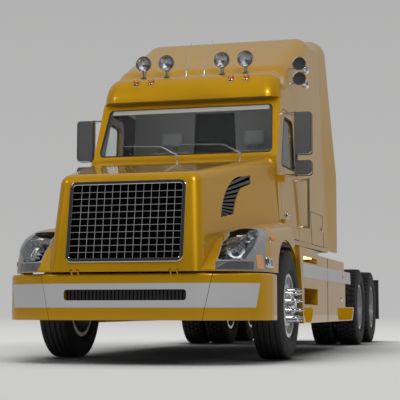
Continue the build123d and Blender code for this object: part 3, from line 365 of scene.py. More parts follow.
LENS = finish("lamp_lens", (0.88, 0.90, 0.92), 0.0, 0.0, 0.01, 0.4, 0.006, 0.0, **COVER)
print("finishes", len(bpy.data.materials))

# %% [markdown]
# The solids whose shape is already right keep it and only get their finish. A table pairs each finish with
# its nodes; painted panels share the one body colour, and castings, frame and trim each have their own.

# %% Dress the solid nodes
SIDES = ("left", "right")
REARS = [f"{row}_{side}" for row in (1, 2) for side in SIDES]
DRESS = [
    (GOLD, ["hood_shell", "bumper", "cowl", "cab_sides", "cab_back", "cab_roof", "cab_floor", "step_boxes"]),
    (GOLD, ["side_fairings", "side_extenders"] + [f"door_{side}" for side in SIDES]),
    (CHROME, ["grille", "air_horns", "roof_lamps", "grab_handles"]),
    (ALLOY, ["fuel_tanks", "wipers"]),
    (ALLOY, [f"rim_front_{side}" for side in SIDES] + [f"hub_rear_{one}" for one in REARS]),
    (BLACK, ["ladder_frame", "rear_suspension", "radiator", "fifth_wheel_base"]),
    (CAST, ["front_axle", "rear_axles", "powertrain", "driveshafts", "leaf_springs", "tie_rod"]),
    (CAST, [f"knuckle_{side}" for side in SIDES]),
    (STEEL, ["fifth_wheel_plate"]),
    (BEZEL_GREY, ["headlamp_bezels"]),
    (LENS, ["headlamp_lenses"]),
    (GLASS, ["windscreen"] + [f"door_glass_{side}" for side in SIDES]),
    (PLASTIC, ["tail_lamps"]),
    (DARK_TRIM, ["dash"] + [f"mirror_{side}" for side in SIDES]),
    (GREY_TRIM, ["bulkhead", "seats"]),
    (RUBBER, ["mudflaps"]),
    (TYRE, [f"tyre_front_{side}" for side in SIDES] + [f"tyres_rear_{one}" for one in REARS]),
]
dressed = set()
for material, names in DRESS:
    for name in names:
        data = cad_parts[name].data
        data.materials.clear()
        data.materials.append(material)
        dressed.add(name)
print("dressed", len(dressed), "of", len(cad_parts))

# %% [markdown]
# Most fittings on a truck are bars, plates and turned rings. A few small helpers wrap the mesh operators that
# make them, so that each later cell only says where a piece sits and how big it is.


# %% Shop helpers
def make(name, bm, material, body, crease=32):
    """Turn a finished bmesh into a piece that rides on a body."""
    bmesh.ops.remove_doubles(bm, verts=bm.verts, dist=1e-6)
    bmesh.ops.recalc_face_normals(bm, faces=bm.faces)
    mesh = bpy.data.meshes.new(name)
    bm.to_mesh(mesh)
    bm.free()
    mesh.materials.append(material)
    mesh.polygons.foreach_set("use_smooth", [True] * len(mesh.polygons))
    mesh.set_sharp_from_angle(angle=radians(crease))
    piece = bpy.data.objects.new(name, mesh)
    scene.collection.objects.link(piece)
    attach(piece, body)
    return piece


def aim(start, end):
    """Matrix that stands +Z on start and points it at end."""
    way = end - start
    return Matrix.Translation((start + end) / 2) @ way.to_track_quat("Z", "Y").to_matrix().to_4x4()


def bar(bm, start, end, radius, tip=None, sides=24):
    """Round bar, straight or tapered, with closed ends."""
    tip = radius if tip is None else tip
    bmesh.ops.create_cone(bm, cap_ends=True, segments=sides, radius1=radius, radius2=tip,
                          depth=(end - start).length, matrix=aim(start, end))


def plate(bm, centre, size, turn=Matrix.Identity(3), edge=0.003, steps=2):
    """Block with softened edges; turn is a 3x3 rotation."""
    place = Matrix.Translation(centre) @ turn.to_4x4() @ Matrix.Diagonal((*size, 1))
    verts = bmesh.ops.create_cube(bm, size=1, matrix=place)["verts"]
    edges = {e for v in verts for e in v.link_edges}
    bmesh.ops.bevel(bm, geom=list(edges), offset=edge, offset_type="OFFSET", affect="EDGES",
                    segments=steps, profile=0.5, material=-1)


def turned(bm, centre, axis, profile, steps=32):
    """Lathe work: (along, radius) points spun once round an axis."""
    axis = axis.normalized()
    side = axis.orthogonal().normalized()
    verts = [bm.verts.new(centre + axis * along + side * radius) for along, radius in profile]
    edges = [bm.edges.new(pair) for pair in zip(verts, verts[1:])]
    bmesh.ops.spin(bm, geom=verts + edges, cent=centre, axis=axis, angle=2 * pi, steps=steps,
                   use_merge=True, use_duplicate=False)


def drawn_out(bm, faces):
    """Extrude faces in place and give the new points, ready to be moved."""
    grown = bmesh.ops.extrude_face_region(bm, geom=faces)["geom"]
    return [g for g in grown if isinstance(g, bmesh.types.BMVert)]


def sheet_of(bm, points, way):
    """Flat outline drawn out along a vector into a closed plate."""
    face = bm.faces.new([bm.verts.new(p) for p in points])
    bmesh.ops.translate(bm, vec=way, verts=drawn_out(bm, [face]))


def all_of(bm):
    """Every point, edge and face of a mesh."""
    return bm.verts[:] + bm.edges[:] + bm.faces[:]


def mirrored(bm):
    """Add the mirror image on the truck's other side."""
    bmesh.ops.mirror(bm, geom=all_of(bm), axis="X", merge_dist=-1)


def some_faces(node, keep, cuts=()):
    """Copy of a node's faces inside the cutting planes that keep() accepts."""
    bm = bmesh.new()
    bm.from_mesh(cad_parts[node].data)
    bmesh.ops.remove_doubles(bm, verts=bm.verts, dist=1e-5)
    for point, way in cuts:
        way = way.normalized()
        bmesh.ops.bisect_plane(bm, geom=all_of(bm), plane_co=point, plane_no=way, clear_outer=True)
    bmesh.ops.delete(bm, geom=[f for f in bm.faces if not keep(f)], context="FACES")
    return bm


def skin(node, cuts, keep, lift, thick):
    """Thin cover over part of a node, lifted off it along the points' normals."""
    bm = some_faces(node, keep, cuts)
    bm.normal_update()
    ways = [(v, v.normal.copy()) for v in bm.verts]
    for v, way in ways:
        v.co += way * lift
    if thick:
        bmesh.ops.solidify(bm, geom=bm.faces[:], thickness=thick)
    return bm


UP, SIDE, BACK = Vector((0, 0, 1)), Vector((1, 0, 0)), Vector((0, 1, 0))
print("helpers ready")

# %% [markdown]
# A truck tyre is a moulded ring: flat ribs parted by deep grooves, a rounded shoulder and a sidewall with
# raised rings. The solid has the plain ring; grooves are fine detail, so the whole section is spun here.
# Steered wheels run on plain ribs; driven ones have the same ribs chopped into blocks.

# %% Tyre section
SIDEWALL = [
    # half width, radius in mm, from the bead out to the shoulder
    (112, 286), (112, 304), (124, 318), (134, 334), (136, 338), (141, 340), (143, 346), (142, 350),
    (147, 372), (150, 398), (149, 420), (147, 432), (149, 435), (147, 440), (144, 452), (139, 470),
    (135, 480), (136, 484), (131, 490), (129, 498), (124, 504), (118, 507),
]
GROOVES = (80.0, 28.0)
GROOVE_TOP, GROOVE_FOOT, GROOVE_DEEP = 6, 4, 13
RIB_STEP = 26
SHOULDER = 104
LUG_CUT = 0.011


def crown(x):
    """Radius of the tread's gentle arch."""
    return 512 - 5 * (x / 120) ** 2


def tyre_section():
    """Closed section of one tyre, as (along, radius) in metres."""
    tread = []
    groove = [(GROOVE_TOP, 0), (GROOVE_FOOT, GROOVE_DEEP), (-GROOVE_FOOT, GROOVE_DEEP), (-GROOVE_TOP, 0)]
    for middle in (GROOVES[0], GROOVES[1], -GROOVES[1], -GROOVES[0]):
        for reach, deep in groove:
            tread.append((middle + reach, crown(middle + reach) - deep))
        if middle > -GROOVES[0]:
            tread.append((middle - RIB_STEP, crown(middle - RIB_STEP)))
    half = SIDEWALL + [(SHOULDER, crown(SHOULDER))]
    ring = half + tread + [(-x, r) for x, r in reversed(half)]
    return [(x / 1000, r / 1000) for x, r in ring + ring[:1]]


def tyre_ring(bm, centre, steps, blocks):
    """One tyre about a centre, its tread chopped into blocks where asked."""
    before = set(bm.faces)
    turned(bm, centre, SIDE, tyre_section(), steps)
    if not blocks:
        return
    chosen = []
    for face in set(bm.faces) - before:
        place = face.calc_center_median() - centre
        reach = Vector((0, place.y, place.z))
        if reach.length < 0.5 or abs(place.x) > 0.121:
            continue
        sector = int((atan2(place.y, place.z) / (2 * pi) + 0.5) * steps)
        stagger = 2 if abs(place.x) < GROOVES[1] / 1000 else 0
        if (sector + stagger) % 4 == 0:
            chosen.append(face)
    lugs = bmesh.ops.extrude_discrete_faces(bm, faces=chosen)["faces"]
    for face in lugs:
        place = face.calc_center_median() - centre
        inward = -Vector((0, place.y, place.z)).normalized()
        for vert in face.verts:
            vert.co += inward * LUG_CUT


print("tyre section has", len(tyre_section()) - 1, "points")

# %% [markdown]
# Each wheel's place is read from its own solid. A box that is wider than one tyre is a pair of twins, so two
# rings are spun there, as far apart as the box allows.

# %% Fit the tyres
TYRE_HALF = 0.15
WHEELS = [(f"tyre_front_{side}", f"wheel_front_{side}", 120, False) for side in SIDES]
WHEELS += [(f"tyres_rear_{one}", f"wheels_rear_{one}", 180, True) for one in REARS]
for node, body, steps, blocks in WHEELS:
    low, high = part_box(node)
    middle = (low + high) / 2
    reach = (high.x - low.x) / 2 - TYRE_HALF
    bm = bmesh.new()
    for shift in ({-reach, reach} if reach > 0.01 else {0.0}):
        tyre_ring(bm, middle + SIDE * shift, steps, blocks)
    piece = make("grooved_" + node, bm, TYRE, body, 40)
    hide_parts(node)
    print(piece.name, len(piece.data.polygons), "faces")

# %% [markdown]
# The bumper carries a silver band along its face, cut off on a slant at both corners. Painting the bumper in
# two tones would need its mesh split, so the band is a thin cover lifted from the solid's own front faces
# instead: it follows every bend and stops at the seams by itself. A near-black screen closes the slot in its
# middle: painted shade of the hollow behind it.

# %% Bumper band
BAND_Z = (490, 700)
BAND_END = ((1115, 492), (1144, 691))
(low_x, low_z), (top_x, top_z) = BAND_END
cuts = [(mm(0, 0, BAND_Z[1]), UP), (mm(0, 0, BAND_Z[0]), -UP)]
for side in (1, -1):
    cuts.append((mm(side * low_x, 0, low_z), Vector((side * (top_z - low_z), 0, low_x - top_x))))
bm = skin("bumper", cuts, lambda f: f.normal.y < -0.3 and abs(f.normal.z) < 0.5, 0.002, 0.004)
band = make("bumper_band", bm, SILVER, "chassis")
bm = bmesh.new()
plate(bm, mm(0, -1368, 600), (1.15, 0.006, 0.130), edge=0.002, steps=1)
for step in range(-16, 17):
    plate(bm, mm(step * 34, -1376, 600), (0.006, 0.016, 0.126), edge=0.001, steps=1)
make("slot_screen", bm, SHADE_BLACK, "chassis")
print("bumper band", len(band.data.polygons), "faces")

# %% [markdown]
# A headlamp cover is thin clear plastic. The solid is as thick as the fender's skin and would bend the view
# like a block of glass, so a thin cover lifted from its outer faces takes its place. Behind each cover sits a
# dark bucket: the solid's inner faces, drawn back and narrowed, give one that meets the cover all round; its
# front is then opened and the wall made solid.

# %% Headlamp covers and buckets
LAMP_BACK = Vector((-sin(radians(40)), cos(radians(40)), 0))
BUCKET_DEEP, BUCKET_NARROW = 0.20, 0.86


def lamp_front(face):
    """True for the outer face of a headlamp cover on either side."""
    out = LAMP_BACK if face.calc_center_median().x > 0 else Vector((-LAMP_BACK.x, LAMP_BACK.y, 0))
    return face.normal.dot(out) < -0.3


def lamp_rear(face):
    """True for the inner face of the left headlamp cover."""
    return face.calc_center_median().x >= 0 and face.normal.dot(LAMP_BACK) >= 0.3


cover = make("lamp_covers", skin("headlamp_lenses", [], lamp_front, 0.0, 0.003), LENS, "hood", 60)
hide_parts("headlamp_lenses")
SMOKED = finish("smoked_grey", (0.11, 0.11, 0.115), 0.2, 0.3, 0.15, 0.04, 0.003, 0.05, Coat_Weight=1.0)
BUCKET = finish("bucket_grey", (0.085, 0.085, 0.088), 0.55, 0.0, 0.15, 0.04, 0.003, 0.1)
bm = some_faces("headlamp_lenses", lamp_rear)
front = bm.faces[:]
rear = drawn_out(bm, front)
middle = sum((v.co for v in rear), Vector()) / len(rear)
bmesh.ops.scale(bm, vec=[BUCKET_NARROW] * 3, space=Matrix.Translation(-middle), verts=rear)
bmesh.ops.translate(bm, vec=LAMP_BACK * BUCKET_DEEP, verts=rear)
bmesh.ops.delete(bm, geom=front, context="FACES_ONLY")
bmesh.ops.recalc_face_normals(bm, faces=bm.faces)
bmesh.ops.solidify(bm, geom=bm.faces[:], thickness=0.003)
mirrored(bm)
make("lamp_buckets", bm, BUCKET, "hood")
print("buckets drawn back", BUCKET_DEEP, "m")

# %% [markdown]
# Inside are round reflectors: a large one for the low beam, a smaller one above it, each a polished bowl with
# stepped rings and a shielded bulb. They are lathe work, so one profile is spun for both, scaled to each
# radius.

# %% Headlamp reflectors
def facing(way, up=UP):
    """Turn that lays a block's X along a direction and keeps its Z upwards."""
    x = way.normalized()
    y = up.cross(x).normalized()
    return Matrix((x, y, x.cross(y))).transposed()


LAMP_AXIS = Vector((0.22, -0.84, 0.50)).normalized()
BOWL = [
    # along, radius, both as shares of the reflector's radius: inside and round the lip, then back
    (-0.50, 0.34), (-0.42, 0.36), (-0.40, 0.52), (-0.30, 0.54), (-0.28, 0.70), (-0.16, 0.72), (-0.12, 0.86),
    (0.0, 0.88), (0.06, 0.94), (0.0, 1.0), (-0.14, 1.0), (-0.40, 0.78), (-0.60, 0.40), (-0.60, 0.34),
    (-0.50, 0.34),
]
SHIELD = [(-0.58, 0.0), (-0.58, 0.33), (-0.34, 0.33), (-0.14, 0.26), (-0.04, 0.15), (0.0, 0.0)]
RINGS = [(-0.36, 0.33), (-0.30, 0.40), (-0.22, 0.38), (-0.26, 0.30), (-0.36, 0.33)]
REFLECTORS = [
    # place in mm, radius in mm
    ((926, -1150, 984), 90),
    ((1006, -1010, 1098), 48),
]
PEARL = finish("pearl_lens", (0.85, 0.85, 0.84), 0.15, 0.0, 0.03, 0.02, 0.003, 0.1, Coat_Weight=1.0)
REFLECTOR = finish("reflector_metal", (0.42, 0.42, 0.43), 0.30, 1.0, 0.1, 0.02, 0.003, 0.05)
for name, profiles, material, slot in (
    ("lamp_reflectors", (BOWL, RINGS), REFLECTOR, "chrome"),
    ("lamp_projectors", (SHIELD,), SMOKED, "lens"),
):
    bm = bmesh.new()
    for place, radius in REFLECTORS:
        for profile in profiles:
            sized = [(along * radius / 1000, share * radius / 1000) for along, share in profile]
            turned(bm, mm(*place), LAMP_AXIS, sized, 40)
    mirrored(bm)
    make(name, bm, material, "hood", 40)
bm = bmesh.new()
plate(bm, mm(947, -1040, 1104), (0.022, 0.080, 0.034), facing(LAMP_AXIS), 0.006, 3)
mirrored(bm)
make("position_lamps", bm, PEARL, "hood")
print("reflectors", len(REFLECTORS), "a side")

# %% [markdown]
# Below the headlamp the bezel holds a smoked running-lamp strip, and round the corner an amber turn lamp.
# Both are covers lifted from the bezel between cutting planes, thick enough to stand proud of it like real
# lenses.

# %% Strip and corner lamps
PALE_AMBER = finish("pale_amber", (0.56, 0.27, 0.085), 0.14, 0.0, 0.1, 0.02, 0.004, 0.2, Coat_Weight=1.0)
CORNER_LAMPS = [
    # name, finish, slot, low and high corner in mm
    ("running_strips", SMOKED, "lens", (800, -1500, 818), (1088, -1000, 884)),
    ("turn_lamps", PALE_AMBER, None, (1080, -1152, 822), (1300, -1064, 944)),
]
for name, material, slot, low, high in CORNER_LAMPS:
    cuts = []
    for way in (SIDE, BACK, UP):
        cuts += [(mm(*high), way), (mm(*low), -way)]
    bm = skin("headlamp_bezels", cuts, lambda f: f.normal.dot(LAMP_BACK) < -0.3, 0.004, 0.007)
    mirrored(bm)
    piece = make(name, bm, material, "hood")
    print(piece.name, len(piece.data.polygons), "faces")

# %% [markdown]
# On the fender's side follow a small bright lamp in a shaped housing and a round amber marker. The housing is
# a softened block turned to the panel, with a window on it; the marker is a spun ring with a domed lens.

# %% Fender side lamps
FENDER_WAY = Vector((0.98, -0.13, 0.12))
bm = bmesh.new()
plate(bm, mm(1170, -935, 884), (0.034, 0.165, 0.098), facing(FENDER_WAY), 0.012, 4)
plate(bm, mm(1182, -980, 886), (0.022, 0.050, 0.066), facing(FENDER_WAY), 0.008, 3)
mirrored(bm)
make("side_lamp_housings", bm, CHROME, "hood")
bm = bmesh.new()
plate(bm, mm(1182, -905, 884), (0.020, 0.080, 0.066), facing(FENDER_WAY), 0.008, 3)
mirrored(bm)
make("side_lamp_windows", bm, SMOKED, "hood")
MARKER_WAY = Vector((0.95, -0.06, 0.31))
DOME = [(-0.006, 0.0), (-0.006, 0.026), (0.014, 0.026), (0.026, 0.021), (0.033, 0.012), (0.036, 0.0)]
RIM = [(-0.006, 0.024), (-0.006, 0.034), (0.008, 0.034), (0.012, 0.030), (0.008, 0.025), (-0.006, 0.024)]
MARKER_AT = mm(1161, -784, 1091)
for name, profile, material, slot in (
    ("marker_domes", DOME, AMBER, None),
    ("marker_rims", RIM, CHROME, "chrome"),
):
    bm = bmesh.new()
    turned(bm, MARKER_AT, MARKER_WAY, profile, 28)
    mirrored(bm)
    make(name, bm, material, "hood")
print("fender lamps fitted")

# %% [markdown]
# The grille is a bright surround with a fine square mesh over black. The solid's bars are sturdy enough to
# print; the real ones are strips under three millimetres wide, so a finer grille takes its place: a frame
# that is rounded, inset and extruded, and two sets of crossing strips.

# %% Grille
NOSE_LEAN = Vector((0, 133, 862)).normalized()
NOSE_OUT = Vector((0, -862, 133)).normalized()
NOSE_TURN = Matrix((SIDE, NOSE_LEAN, NOSE_OUT)).transposed()
GRILLE_MID = mm(0, -1391.3, 1239)
HALF_W, HALF_H, RIM_W = 0.535, 0.363, 0.034
CELLS = (14, 11)
STRIP_W, STRIP_DEEP, STRIP_EDGE, STRIP_SPARE = 0.0026, 0.007, 0.0006, 0.01
INNER_W, INNER_H = HALF_W - RIM_W, HALF_H - RIM_W


def on_nose(x, up, out):
    """Point on the sloping nose, from the grille's middle, in metres."""
    return GRILLE_MID + SIDE * x + NOSE_LEAN * up + NOSE_OUT * out


def rounded_frame(bm, half_w, half_h, radius, width, low, high):
    """Closed frame with round corners standing on the nose, its edges softened."""
    corners = ((-half_w, -half_h), (half_w, -half_h), (half_w, half_h), (-half_w, half_h))
    verts = [bm.verts.new(on_nose(x, up, low)) for x, up in corners]
    bm.faces.new(verts)
    bmesh.ops.bevel(bm, geom=verts, offset=radius, offset_type="OFFSET", affect="VERTICES", segments=8,
                    profile=0.5, material=-1)
    face = max(bm.faces, key=lambda f: f.calc_area())
    border = bmesh.ops.inset_region(bm, faces=[face], thickness=width, use_boundary=True,
                                    use_even_offset=True)["faces"]
    bmesh.ops.delete(bm, geom=[face], context="FACES")
    bmesh.ops.translate(bm, vec=NOSE_OUT * (high - low), verts=drawn_out(bm, border))
    bmesh.ops.recalc_face_normals(bm, faces=bm.faces)
    on_top = {v for v in bm.verts if (v.co - GRILLE_MID).dot(NOSE_OUT) > high - 1e-4}
    tops = [e for e in bm.edges if e.calc_face_angle(0) > 1.0 and on_top.issuperset(e.verts)]
    bmesh.ops.bevel(bm, geom=tops, offset=0.006, offset_type="OFFSET", affect="EDGES", segments=3,
                    profile=0.5, material=-1)


bm = bmesh.new()
rounded_frame(bm, HALF_W, HALF_H, 0.060, RIM_W, -0.028, 0.017)
surround = make("grille_surround", bm, CHROME, "hood", 40)
bm = bmesh.new()
across, rows = CELLS
for step in range(1, across):
    x = INNER_W * (2 * step / across - 1)
    size = (STRIP_W, 2 * INNER_H + STRIP_SPARE, STRIP_DEEP)
    plate(bm, on_nose(x, 0, -0.016), size, NOSE_TURN, STRIP_EDGE, 1)
for step in range(1, rows):
    up = INNER_H * (2 * step / rows - 1)
    size = (2 * INNER_W + STRIP_SPARE, STRIP_W, STRIP_DEEP)
    plate(bm, on_nose(0, up, -0.013), size, NOSE_TURN, STRIP_EDGE, 1)
make("grille_strips", bm, SILVER, "hood")
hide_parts("grille")
print("grille", across, "by", rows, "cells, surround", len(surround.data.polygons), "faces")

# %% [markdown]
# A near-black screen behind the strips hides the engine. It stands partly for the insect mesh trucks carry
# on the road and partly for painted shade in the engine bay. One softened plate, turned to the nose, is
# enough.

# %% Screen behind the grille
bm = bmesh.new()
plate(bm, on_nose(0, 0, -0.034), (2 * INNER_W + 0.02, 2 * INNER_H + 0.02, 0.006), NOSE_TURN, 0.002, 1)
make("grille_shade_screen", bm, SHADE_BLACK, "hood")
print("screen hung")

# %% [markdown]
# The vent in the hood's side is a bent band of dark louvres. The solid has its shallow pocket; the pocket's
# floor is copied and sliced by a fan of planes from a point ahead, and every second slice is raised into a
# blade.

# %% Hood vents
HOOD_FLARE, HOOD_LEAN = 0.2012, 0.094
SIDE_OUT = Vector((1, -HOOD_FLARE, HOOD_LEAN)).normalized()
FAN_MID = (-1500, 1380)
FAN = 1.3
BLADE_LIFT = 0.0105


def in_vent(face):
    """True for the floor of the left vent's pocket."""
    place = face.calc_center_median() - mm(0, 0, 0)
    if place.x < 0 or face.normal.dot(SIDE_OUT) < 0.995:
        return False
    skin_x = 0.704 + HOOD_FLARE * (place.y + 1.2) - HOOD_LEAN * (place.z - 1.236)
    return 0.008 < skin_x - place.x < 0.016 and 1.28 < place.z < 1.76


def fan_angle(point):
    """Angle of a point about the bend's centre, in degrees."""
    place = point - mm(0, *FAN_MID)
    return atan2(place.z, place.y) * 180 / pi


floor = skin("hood_shell", [], in_vent, 0.001, 0)
for step in range(-10, 22):
    turn = radians(step * FAN)
    way = Vector((0, -sin(turn), cos(turn)))
    bmesh.ops.bisect_plane(floor, geom=all_of(floor), plane_co=mm(0, *FAN_MID), plane_no=way)
blades = floor.copy()
gaps = [f for f in blades.faces if int(fan_angle(f.calc_center_median()) / FAN + 40) % 2]
bmesh.ops.delete(blades, geom=gaps, context="FACES")
bmesh.ops.translate(blades, vec=SIDE_OUT * BLADE_LIFT, verts=blades.verts)
for bm, thick in ((floor, 0.002), (blades, 0.009)):
    bmesh.ops.solidify(bm, geom=bm.faces[:], thickness=thick)
    mirrored(bm)
# The pocket's copied floor is near-black: painted shade between the blades.
make("vent_floors", floor, SHADE_BLACK, "hood", 20)
vents = make("vent_blades", blades, DARK_TRIM, "hood", 20)
print("vent louvres", len(vents.data.polygons), "faces")

# %% [markdown]
# Glass on a truck is held by a black rubber seal, and round the windscreen runs a thin bright filler strip.
# Each seal is the border of the pane itself: its outer faces are joined into one, inset, and only the rim is
# kept.

# %% Screen and window seals
SCREEN_OUT = Vector((0, -562, 253)).normalized()
CAB_FLARE, CAB_LEAN = 0.0364, 0.0431
CAB_OUT = Vector((1, -CAB_FLARE, CAB_LEAN)).normalized()


def across_x(way):
    """The same direction on the truck's other side."""
    return Vector((-way.x, way.y, way.z))


def rim_of(node, way, width, lift, thick):
    """Frame along the border of a node's faces that look one way."""
    bm = some_faces(node, lambda face: face.normal.dot(way) >= 0.95)
    bmesh.ops.dissolve_limit(bm, angle_limit=radians(1), verts=bm.verts, edges=bm.edges)
    pane = bm.faces[:]
    bmesh.ops.inset_region(bm, faces=pane, thickness=width, use_boundary=True, use_even_offset=True)
    bmesh.ops.delete(bm, geom=pane, context="FACES")
    bmesh.ops.translate(bm, vec=way * lift, verts=bm.verts)
    bmesh.ops.solidify(bm, geom=bm.faces[:], thickness=thick)
    return bm


make("screen_seal", rim_of("windscreen", SCREEN_OUT, 0.009, 0.013, 0.014), RUBBER, "chassis")
make("screen_filler", rim_of("windscreen", SCREEN_OUT, 0.003, 0.015, 0.006), CHROME, "chassis")
for side, way in zip(SIDES, (CAB_OUT, across_x(CAB_OUT))):
    seal = rim_of("door_glass_" + side, way, 0.018, 0.021, 0.022)
    make("window_seal_" + side, seal, RUBBER, "door_" + side)
print("seals fitted")

# %% [markdown]
# Inside, the shell is lined: felt under the roof, moulded panels on pillars and doors, a rubber mat on the
# floor, and near-black sheets on the side and rear walls that are painted shade of the dim cab behind the
# seats.
# Each lining is lifted off the inner faces of the panel it covers, so it follows that panel exactly.

# %% Cab linings
CABIN = mm(0, 1700, 2400)


def faces_in(face):
    """True where a face looks towards the middle of the cabin, and isn't a joint between two panels."""
    place = face.calc_center_median()
    joint = abs(face.normal.z) > 0.99 and place.z < 2.67
    return (place - CABIN).dot(face.normal) < 0 and not joint


def wall_in(face):
    """True for the inner face of a side wall."""
    return face.calc_center_median().x * face.normal.x < 0 and abs(face.normal.x) > 0.7


def back_in(face):
    """True for a face that looks forwards."""
    return face.normal.y < -0.7


def pillar_in(face):
    """True for the cowl's faces that look rearwards or inwards, clear of the hinges."""
    place = face.calc_center_median()
    return abs(place.x) < 0.97 and (face.normal.y > 0.5 or place.x * face.normal.x < -0.5)


def floor_up(face):
    """True for a face that looks up."""
    return face.normal.z > 0.9


LININGS = [
    # name, node, test of a face, finish, body, slot
    ("headliner", "cab_roof", faces_in, HEADLINER, "chassis", "cloth"),
    ("pillar_trim", "cowl", pillar_in, GREY_TRIM, "chassis", "grey_plastic"),
    ("wall_trim", "cab_sides", wall_in, SHADE_BLACK, "chassis", "black_plastic"),
    ("rear_wall_trim", "cab_back", back_in, SHADE_BLACK, "chassis", "black_plastic"),
    ("floor_mat", "cab_floor", floor_up, RUBBER, "chassis", "rubber"),
    ("door_card_left", "door_left", wall_in, GREY_TRIM, "door_left", "grey_plastic"),
    ("door_card_right", "door_right", wall_in, GREY_TRIM, "door_right", "grey_plastic"),
]
for name, node, test, material, body, slot in LININGS:
    piece = make(name, skin(node, [], test, 0.004, 0.003), material, body)
    print(name, len(piece.data.polygons), "faces")

# %% [markdown]
# A grey header runs along the top of the windscreen, and a near-black panel, painted shade of the unlit
# sleeper, closes the way to it. Both are plain boards: one turned to the slope of the glass, the other drawn
# out from the doorway's own outline.

# %% Header and sleeper panel
HEADER_TURN = Matrix((SIDE, SCREEN_OUT.cross(SIDE), SCREEN_OUT)).transposed()
bm = bmesh.new()
plate(bm, mm(0, 712, 2590), (1.70, 0.13, 0.014), HEADER_TURN, 0.005, 3)
make("header_trim", bm, GREY_TRIM, "chassis")
DOORWAY = [(-318, 1206), (318, 1206), (250, 2715), (-250, 2715)]
bm = bmesh.new()
sheet_of(bm, [mm(x, 1784, z) for x, z in DOORWAY], BACK * 0.008)
make("sleeper_panel", bm, SHADE_BLACK, "chassis")
print("header trim and sleeper panel fitted")

# %% [markdown]
# The four roof lamps are round spotlights on short posts: a spun housing with a polished bowl, a bulb shield
# and a domed glass. The solid is plainer, so the detailed lamps take its place.

# %% Roof lamps
AHEAD = -BACK
SPOT = [(-0.045, 0.0), (-0.044, 0.03), (-0.030, 0.058), (-0.008, 0.075), (0.0, 0.079), (0.005, 0.083)]
SPOT += [(0.0, 0.086), (-0.012, 0.086), (-0.030, 0.078), (-0.050, 0.058), (-0.058, 0.036), (-0.060, 0.0)]
BULB = [(-0.046, 0.0), (-0.046, 0.012), (-0.020, 0.017), (-0.008, 0.012), (-0.004, 0.0)]
PANE = [(0.011, 0.0), (0.0095, 0.03), (0.006, 0.06), (0.0005, 0.0785), (-0.003, 0.0785), (0.003, 0.055)]
PANE.append((0.0075, 0.0))
SPOT_X = (-562, -306, 306, 562)
housings, panes = bmesh.new(), bmesh.new()
for x in SPOT_X:
    centre = mm(x, 842, 3111)
    turned(housings, centre, AHEAD, SPOT, 48)
    turned(housings, centre, AHEAD, BULB, 20)
    turned(panes, centre, AHEAD, PANE, 48)
    bar(housings, mm(x, 872, 2952), mm(x, 870, 3040), 0.016)
    bar(housings, mm(x, 872, 2950), mm(x, 872, 2966), 0.044, 0.034)
    plate(housings, mm(x, 872, 3036), (0.05, 0.034, 0.03), edge=0.006)
spots = make("roof_spotlights", housings, REFLECTOR, "chassis", 40)
make("roof_spotlight_glass", panes, LENS, "chassis", 40)
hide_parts("roof_lamps")
print("roof lamps", len(SPOT_X))

# %% [markdown]
# Along the brow stand four bullet-shaped amber clearance lamps, and two whip antennas rise behind them. The
# lamps are lathe work and the whips tapered bars, leaning back as they do in the wind.

# %% Clearance lamps and antennas
BULLET = [(-0.045, 0.0), (-0.045, 0.027), (0.016, 0.027), (0.030, 0.021), (0.038, 0.011), (0.041, 0.0)]
COLLAR = [(-0.085, 0.0), (-0.085, 0.036), (-0.036, 0.033), (-0.024, 0.030), (-0.024, 0.024), (-0.085, 0.0)]
bullets, collars = bmesh.new(), bmesh.new()
for x in (-600, -436, 436, 600):
    turned(bullets, mm(x, 706, 2892), AHEAD, BULLET, 24)
    turned(collars, mm(x, 706, 2892), AHEAD, COLLAR, 24)
    plate(collars, mm(x, 730, 2856), (0.034, 0.070, 0.040), edge=0.006)
make("clearance_lenses", bullets, AMBER, "chassis")
make("clearance_collars", collars, CHROME, "chassis")
WHIPS = [
    # foot X, tip X, tip Z
    (-100, -95, 3375),
    (100, 147, 3395),
]
bm = bmesh.new()
for x, tip, top in WHIPS:
    foot, spring = mm(x, 900, 2955), mm(x, 900, 3030)
    bar(bm, foot, mm(x, 900, 2985), 0.024, 0.018)
    bar(bm, mm(x, 900, 2985), spring, 0.011, 0.007)
    bar(bm, spring, mm(tip, 1100, top), 0.0035, 0.002, 12)
make("whip_antennas", bm, ALLOY, "chassis")
print("lamps and whips fitted")

# %% [markdown]
# Two trumpet horns sit on the roof's left side. A real trumpet is a thin flared tube on a drum, so the
# profile goes from inside the bell round its lip and back along the tube before it is spun. A near-black
# throat closes it: painted shade deep inside the bell.

# %% Horns
TRUMPET = [(-0.016, 0.055), (-0.002, 0.068), (0.0, 0.072), (-0.006, 0.071), (-0.030, 0.053), (-0.090, 0.035)]
TRUMPET += [(-0.330, 0.020), (-0.330, 0.036), (-0.336, 0.040), (-0.396, 0.040), (-0.402, 0.034)]
TRUMPET.append((-0.402, 0.0))
THROAT = [(-0.014, 0.0), (-0.014, 0.050), (-0.003, 0.067), (-0.010, 0.066), (-0.028, 0.048), (-0.030, 0.0)]
horns, throats = bmesh.new(), bmesh.new()
for z in (3060, 2900):
    turned(horns, mm(1110, 1000, z), AHEAD, TRUMPET, 40)
    turned(throats, mm(1110, 1000, z), AHEAD, THROAT, 40)
    bar(horns, mm(950, 1250, z - 8), mm(1110, 1250, z), 0.012)
    bar(horns, mm(1110, 1236, z), mm(1110, 1264, z), 0.032)
trumpets = make("trumpet_horns", horns, CHROME, "chassis", 40)
make("horn_throats", throats, RUBBER, "chassis", 40)
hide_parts("air_horns")
print("horns fitted")

# %% [markdown]
# The mirrors are dark housings with bright edges: silvered glass on the rear, a thin trim round the front,
# chrome sleeves on the arms. Each door also has a pull handle. All of these ride on their door, so they are
# made once on the left and copied with X turned over.

